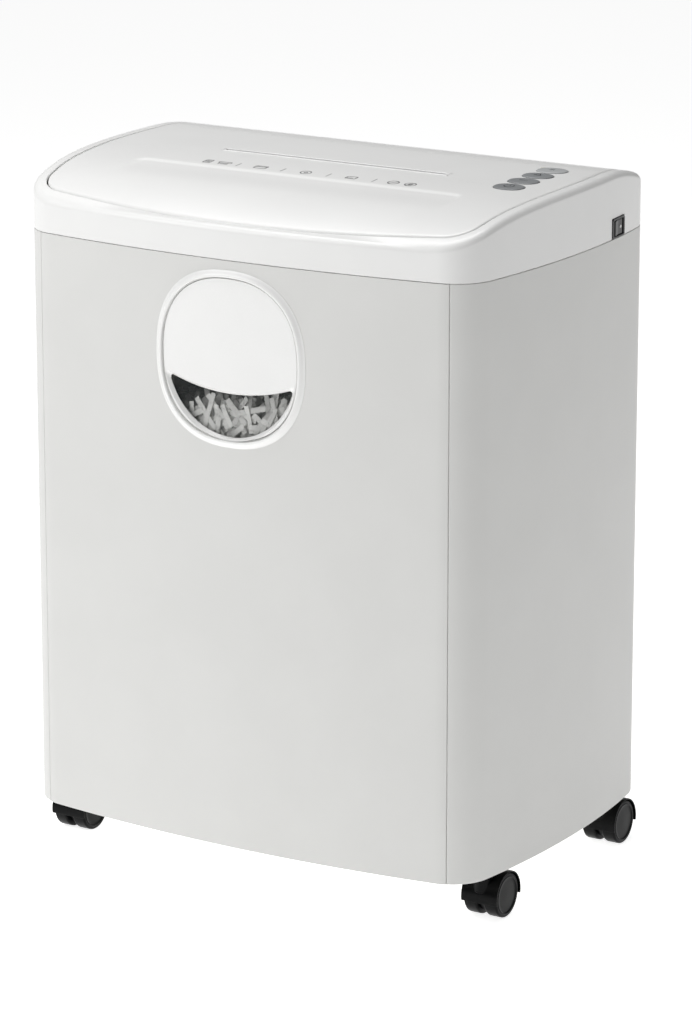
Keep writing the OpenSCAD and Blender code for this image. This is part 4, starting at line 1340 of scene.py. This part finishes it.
    def stroke(self, path: Array, width: float, height: Callable[[Array], Array],
               closed: bool = False) -> Solid:
        """A printed line: a ribbon along a path, a hair above the surface.

        Args:
            path: Points (n, 2) along its middle.
            width: Its width.
            height: Function that gives the surface's height at points (n, 2).
            closed: The path ends where it starts.

        Returns:
            The closed ribbon.
        """
        path = densify(path, 2.0) if closed else path
        ahead = np.roll(path, -1, 0) - np.roll(path, 1, 0) if closed else np.gradient(path, axis=0)
        ahead /= np.linalg.norm(ahead, axis=1, keepdims=True)
        side = np.column_stack([-ahead[:, 1], ahead[:, 0]]) * width / 2
        left, right = path + side, path - side
        rings = [level(p, height(p) + rise)
                 for p, rise in ((left, 0.06), (right, 0.06), (right, -0.12), (left, -0.12))]
        return tube(np.stack(rings, 1), closed)

    def key_symbol(self, kind: Key, number: int) -> Solid:
        """The key's symbol: power mark, bar, triangle or double bar."""
        middle = np.array([self.key_x, self.key_y(number)])

        def height(points: Array) -> Array:
            """Height of this key's dome."""
            return self.key_height(number, points)

        if kind is Key.POWER:
            turn = np.radians(np.linspace(125, 415, 30))
            ring = middle + 4.2 * np.column_stack([np.cos(turn), np.sin(turn)])
            bar = middle + np.array([[0, 1.4], [0, 3.4], [0, 5.4]])
            return join([self.stroke(ring, 0.9, height), self.stroke(bar, 0.9, height)])
        if kind is Key.REVERSE:
            return self.stroke(middle + np.array([[-4.0, 0], [0, 0], [4.0, 0.0]]), 0.9, height)
        if kind is Key.AUTO:
            corner = middle + 3.8 * np.array([[0, 1.0], [-0.87, -0.5], [0.87, -0.5]])
            return self.stroke(round_corners(corner, 0.4, 3), 0.9, height, closed=True)
        bars = [np.array([[-2.2, dy], [0, dy], [2.2, dy]]) for dy in (-1.1, 1.1)]
        return join([self.stroke(middle + bar, 0.8, height) for bar in bars])

    def face(self, points: Array) -> Array:
        """Height of the lid's face at points (n, 2)."""
        return self.surface(points[:, 0], points[:, 1])

    def frame_sign(self, x: float, y: float, half_x: float, half_y: float, radius: float = 0.8) -> Solid:
        """A printed oblong about (x, y)."""
        loop = round_corners(rectangle(half_x, half_y, x, y), radius, 3)
        return self.stroke(loop, self.line_w, self.face, closed=True)

    def line_sign(self, start: tuple[float, float], stop: tuple[float, float],
                  width: float = 0.0) -> Solid:
        """A printed line from start to stop."""
        return self.stroke(np.linspace(start, stop, 6), width or self.line_w, self.face)

    def ring_sign(self, x: float, y: float, radius: float) -> Solid:
        """A printed ring about (x, y)."""
        return self.stroke(circle(radius, 32, x, y), self.line_w, self.face, closed=True)

    def pictograms(self) -> Solid:
        """Generic signs in front of the slot: sheets, a card, discs, and rules between them."""
        y, frame_at, line, ring = self.sign_y, self.frame_sign, self.line_sign, self.ring_sign
        signs = [frame_at(-96, y, 3.2, 4.4)] + [line((-98, y + k), (-94, y + k)) for k in (2, 0, -2)]
        signs += [frame_at(-80, y + 1.6, 6.0, 1.6)]
        signs += [line((-84 + 2 * k, y - 1.2), (-84 + 2 * k, y - 4.4)) for k in range(5)]
        signs += [line((x, y - 4.8), (x, y + 4.8), 0.6) for x in (-66, -22, 22, 66)]
        signs += [frame_at(-44, y, 5.6, 3.6), line((-49, y + 1.2), (-39, y + 1.2), 1.2)]
        signs += [ring(0, y, 4.6), ring(0, y, 1.4)]
        signs += [frame_at(44, y, 4.6, 3.2), line((40, y - 1), (46, y - 1))]
        for x in (84, 100):
            signs += [ring(x, y, 4.8), line((x - 3.4, y - 3.4), (x + 3.4, y + 3.4))]
        return join(signs + [frame_at(100, y, 1.2, 2.6, 0.5)])

    def build(self) -> None:
        """Makes the lid, the slot's lip, the keys and the printing."""
        for name, solid, finish, slot, nodes in (
                ("lid_top", self.cover(), Finishes.head_white, "lid_white", ("lid_cover",)),
                ("lid_slot_lip", self.slot_lip(), Finishes.trim_white, "trim_white", ("slot_liner",)),
                ("lid_pictograms", self.pictograms(), Finishes.ink, "switch_black", ())):
            add_piece(name, solid, finish, "auto_feed_lid", slot, nodes)
        for number, kind in enumerate(Key):
            finish = Finishes.key_pale if kind is Key.FORWARD else Finishes.key_grey
            body = kind.value
            add_piece(f"{body}_cap", self.key(number), finish, body, "key_grey", (body,))
            add_piece(f"{body}_sign", self.key_symbol(kind, number), Finishes.ink, body, "switch_black")


# ---------------------------------------------------------------- mains switch and casters


@dataclass
class MainsSwitch:
    """The rocker switch low on the right of the head, in a frame that follows the side's bow."""

    plan: Plan
    turn: float = math.radians(4.8)
    half_l: float = 12.6
    z_low: float = 542.2
    z_high: float = 559.2
    rocker_z: float = 550.4
    rocker_half: float = 6.1
    mouth_half: tuple[float, float] = (10.0, 6.6)
    well_depth: float = 16.0

    def placed(self, solid: Solid) -> Solid:
        """Moves a solid from the switch's own axes (out, along, up) to the head's side."""
        side_x, side_y, side_r = self.plan.body.arcs()[2][:3]
        return solid.moved(side_x + side_r, side_y).turned(self.turn, side_x, side_y)

    def housing(self) -> Solid:
        """Frame: rounded oblong loops from the back of the well, over a soft rim, to the outside."""
        def loop(half_l: float, low: float, high: float, radius: float, out: float) -> Array:
            """A rounded oblong from low to high, standing out by a distance."""
            corners = rectangle(half_l, (high - low) / 2, 0.0, (high + low) / 2)
            flat = round_corners(corners, radius, 5)
            return np.column_stack([np.full(len(flat), out), flat])

        h, lo, hi = self.half_l, self.z_low, self.z_high
        m, m_lo, m_hi = self.mouth_half[0], *(self.rocker_z + k * self.mouth_half[1] for k in (-1, 1))
        rings = [loop(h, lo, hi, 2.4, -self.well_depth), loop(h, lo, hi, 2.4, 0.3),
                 loop(h - 0.4, lo + 0.3, hi - 0.4, 2.2, 0.8),
                 loop(m + 0.5, m_lo - 0.5, m_hi + 0.5, 1.2, 0.8), loop(m, m_lo, m_hi, 1.0, 0.3),
                 loop(m, m_lo, m_hi, 1.0, 5.0 - self.well_depth)]
        return self.placed(tube(np.stack(rings)))

    def rocker(self) -> Solid:
        """Rocker: its face is a shallow V across, with soft ends."""
        face = np.array([[-7.0, -8.4], [1.3, -8.4], [0.0, 0.0], [0.2, 8.4], [-7.0, 8.4]])
        flat = round_corners(face, np.array([0.4, 0.8, 3.0, 0.8, 0.4]), 4)
        middle = flat.mean(0)
        low, high = self.rocker_z - self.rocker_half, self.rocker_z + self.rocker_half
        rings = [(0.96, low), (1.0, low + 0.4), (1.0, high - 0.4), (0.96, high)]
        return self.placed(tube(np.stack([level(middle + (flat - middle) * k, z) for k, z in rings])))

    def dot(self) -> Solid:
        """White printed dot on the rocker's rear half."""
        profile = np.array([[0.02, 0.35], [1.2, 0.3], [1.3, 0.1], [1.3, -0.8], [0.02, -0.8]])
        return self.placed(lathe(profile, 24).moved(0.15, 4.4, self.rocker_z))

    def build(self) -> None:
        """Makes the frame, the rocker and its dot."""
        for name, solid, body, node in (("switch_frame", self.housing(), "cabinet", "switch_housing"),
                                        ("switch_rocker", self.rocker(), "power_rocker", "power_rocker")):
            add_piece(name, solid, Finishes.switch_black, body, "switch_black", (node,))
        add_piece("switch_dot", self.dot(), Finishes.dot_white, "power_rocker", "trim_white")


@dataclass
class Casters:
    """Four twin-wheel swivel casters."""

    x: float = 205.0
    front_y: float = -100.0
    rear_y: float = 107.0
    trail: float = 13.0
    wheel_r: float = 19.0
    wheel_w: float = 12.4
    gap: float = 3.2
    arch_r: float = 20.1
    arch_half_t: float = 0.6
    arch_half_w: float = 16.8

    def hood(self) -> Solid:
        """Hood: an arched shell over both wheels, with the web between them, the boss, stem and axle."""
        turn = np.radians(np.concatenate([[-11.0], np.linspace(-10, 190, 49), [191.0]]))[:, None]
        section = round_corners(rectangle(self.arch_half_t, self.arch_half_w, self.arch_r, 0.0), 0.5, 3)
        middle = section.mean(0)
        small = np.ones((len(turn), 1))
        small[[0, -1]] = 0.985
        r = middle[0] + (section[None, :, 0] - middle[0]) * np.where(small < 1, 0.6, 1.0)
        across = section[None, :, 1] * small
        arch = tube(np.dstack([across, r * np.cos(turn) + self.trail, r * np.sin(turn) + self.wheel_r]))
        web = lathe(np.array([[0.02, -2.7], [14.6, -2.7], [15.0, -2.3],
                              [15.0, 2.3], [14.6, 2.7], [0.02, 2.7]]), 48)
        web = web.moved(0, self.trail, self.wheel_r)
        axle = lathe(np.array([[0.02, -13.6], [3.0, -13.6], [3.0, 13.6], [0.02, 13.6]]), 24)
        axle = axle.moved(0, self.trail, self.wheel_r)
        post = lathe(np.array([[0.02, 24.0], [7.4, 24.0], [8.0, 24.6], [8.0, 42.8], [7.4, 43.4],
                               [5.0, 43.4], [5.0, 66.0], [4.4, 66.5], [0.02, 66.5]]), 40)
        upright = Solid(post.points[:, [1, 2, 0]], post.quads, post.caps)
        return join([arch, web, axle, upright])

    def wheel(self) -> Solid:
        """Wheel: tread with round shoulders, a dished outer face with a raised ring, and a blind bore."""
        r, a, b = self.wheel_r, self.gap, self.gap + self.wheel_w
        into, drop = quarter(1.8, 5)
        tread = np.column_stack([r - drop, a + into])[::-1]
        outer = np.column_stack([r - drop, b - into])
        face = np.array([[16.4, b], [16.0, b + 0.35], [15.2, b + 0.35], [14.8, b - 0.1],
                         [14.0, b - 0.5], [12.0, b - 0.55], [6.0, b - 0.35], [0.02, b - 0.3]])
        bore = np.array([[0.02, 14.0], [3.06, 14.0], [3.06, a + 0.3], [3.4, a]])
        return lathe(np.vstack([bore, tread, outer, face]), 96)

    def build(self) -> None:
        """Makes the four hoods and eight wheels."""
        hood, wheel = self.hood(), self.wheel()
        for corner, sx, y in (("fl", -1, self.front_y), ("fr", 1, self.front_y),
                              ("rl", -1, self.rear_y), ("rr", 1, self.rear_y)):
            add_piece(f"hood_{corner}", hood.moved(sx * self.x, y), Finishes.caster_black,
                      f"caster_{corner}", "caster_black", (f"caster_hood_{corner}",))
            for side, way in (("outer", sx), ("inner", -sx)):
                half = wheel if way > 0 else wheel.mirrored()
                body = f"wheel_{corner}_{side}"
                add_piece(f"tyre_{corner}_{side}", half.moved(sx * self.x, y + self.trail, self.wheel_r),
                          Finishes.caster_black, body, "tread_black", (body,))


# ---------------------------------------------------------------- studio


@dataclass
class Studio:
    """Pale floor, soft lights and the camera."""

    camera_at: tuple[float, float, float] = (1787.45, -2928.29, 1248.87)
    yaw: float = 31.22
    pitch: float = -13.46
    lens: float = 147.0
    shift_y: float = -0.15
    sensor: float = 36.0
    clip_m: float = 50.0
    floor_half_m: float = 20.0
    floor_glow: float = 0.86
    world_strength: float = 0.08

    def build(self) -> None:
        """Makes the camera, the floor, the world and the lights."""
        scene = bpy.context.scene
        data = bpy.data.cameras.new("camera")
        data.sensor_width, data.lens, data.shift_y = self.sensor, self.lens, self.shift_y
        data.clip_end = self.clip_m
        camera = bpy.data.objects.new("camera", data)
        camera.location = [v * MM for v in self.camera_at]
        camera.rotation_euler = (math.radians(90 + self.pitch), 0, math.radians(self.yaw))
        scene.collection.objects.link(camera)
        scene.camera = camera
        scene.view_settings.view_transform = "Standard"
        self.floor()
        self.light("key_panel", (-800, -1150, 1300), (-120, 0, 500), 800, 8)
        self.light("top_panel", (-300, -100, 2300), (0, 0, 500), 1500, 31)
        world = bpy.data.worlds.new("studio_white")
        world.use_nodes = True
        sky = world.node_tree.nodes["Background"].inputs
        sky["Color"].default_value = (1, 1, 1, 1)
        sky["Strength"].default_value = self.world_strength
        scene.world = world

    def floor(self) -> None:
        """Pale floor, a little lit from within so that it stays near white."""
        corners = level(rectangle(self.floor_half_m, self.floor_half_m), 0.0)
        mesh = bpy.data.meshes.new("studio_floor")
        mesh.from_pydata(corners.tolist(), [], [[0, 1, 2, 3]])
        floor = bpy.data.objects.new("studio_floor", mesh)
        bpy.context.scene.collection.objects.link(floor)
        material = bpy.data.materials.new("matt_white_paper_sweep")
        material.use_nodes = True
        shader = material.node_tree.nodes["Principled BSDF"]
        shader.inputs["Base Color"].default_value = linear("#F7F7F6")
        shader.inputs["Roughness"].default_value = 0.9
        shader.inputs["Emission Color"].default_value = (1, 1, 1, 1)
        shader.inputs["Emission Strength"].default_value = self.floor_glow
        mesh.materials.append(material)

    def light(self, name: str, at: tuple[float, float, float], aim: tuple[float, float, float],
              size: float, power: float) -> None:
        """A square area light.

        Args:
            name: The light's name.
            at: Where it stands, in mm.
            aim: What it faces, in mm.
            size: Its side, in mm.
            power: Its power in watts.
        """
        data = bpy.data.lights.new(name, "AREA")
        data.shape, data.size, data.energy = "SQUARE", size * MM, power
        lamp = bpy.data.objects.new(name, data)
        lamp.location = [v * MM for v in at]
        away = np.array(at, float) - np.array(aim, float)
        yaw = math.atan2(away[0], -away[1])
        lamp.rotation_euler = (math.atan2(math.hypot(away[0], away[1]), away[2]), 0, yaw)
        bpy.context.scene.collection.objects.link(lamp)


# ---------------------------------------------------------------- all together


def dress_frame() -> None:
    """Gives every CAD node that is still shown the finish of its record slot."""
    finishes = Finishes.by_slot()
    for row in frame["record"]["subparts"]:
        node = frame["nodes"][row["node"]]
        node.data.materials.clear()
        node.data.materials.append(finishes[row["material_slot"]].made())


def main() -> None:
    """Builds every sub-assembly in order."""
    logging.basicConfig(level=logging.INFO, format="%(message)s")
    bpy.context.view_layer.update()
    plan = Plan()
    dress_frame()
    Studio().build()
    Cabinet(plan).build()
    Head(plan).build()
    Drawer(plan).build()
    Window(plan).build()
    Lid(plan).build()
    MainsSwitch(plan).build()
    Casters().build()


if __name__ == "__main__":
    main()
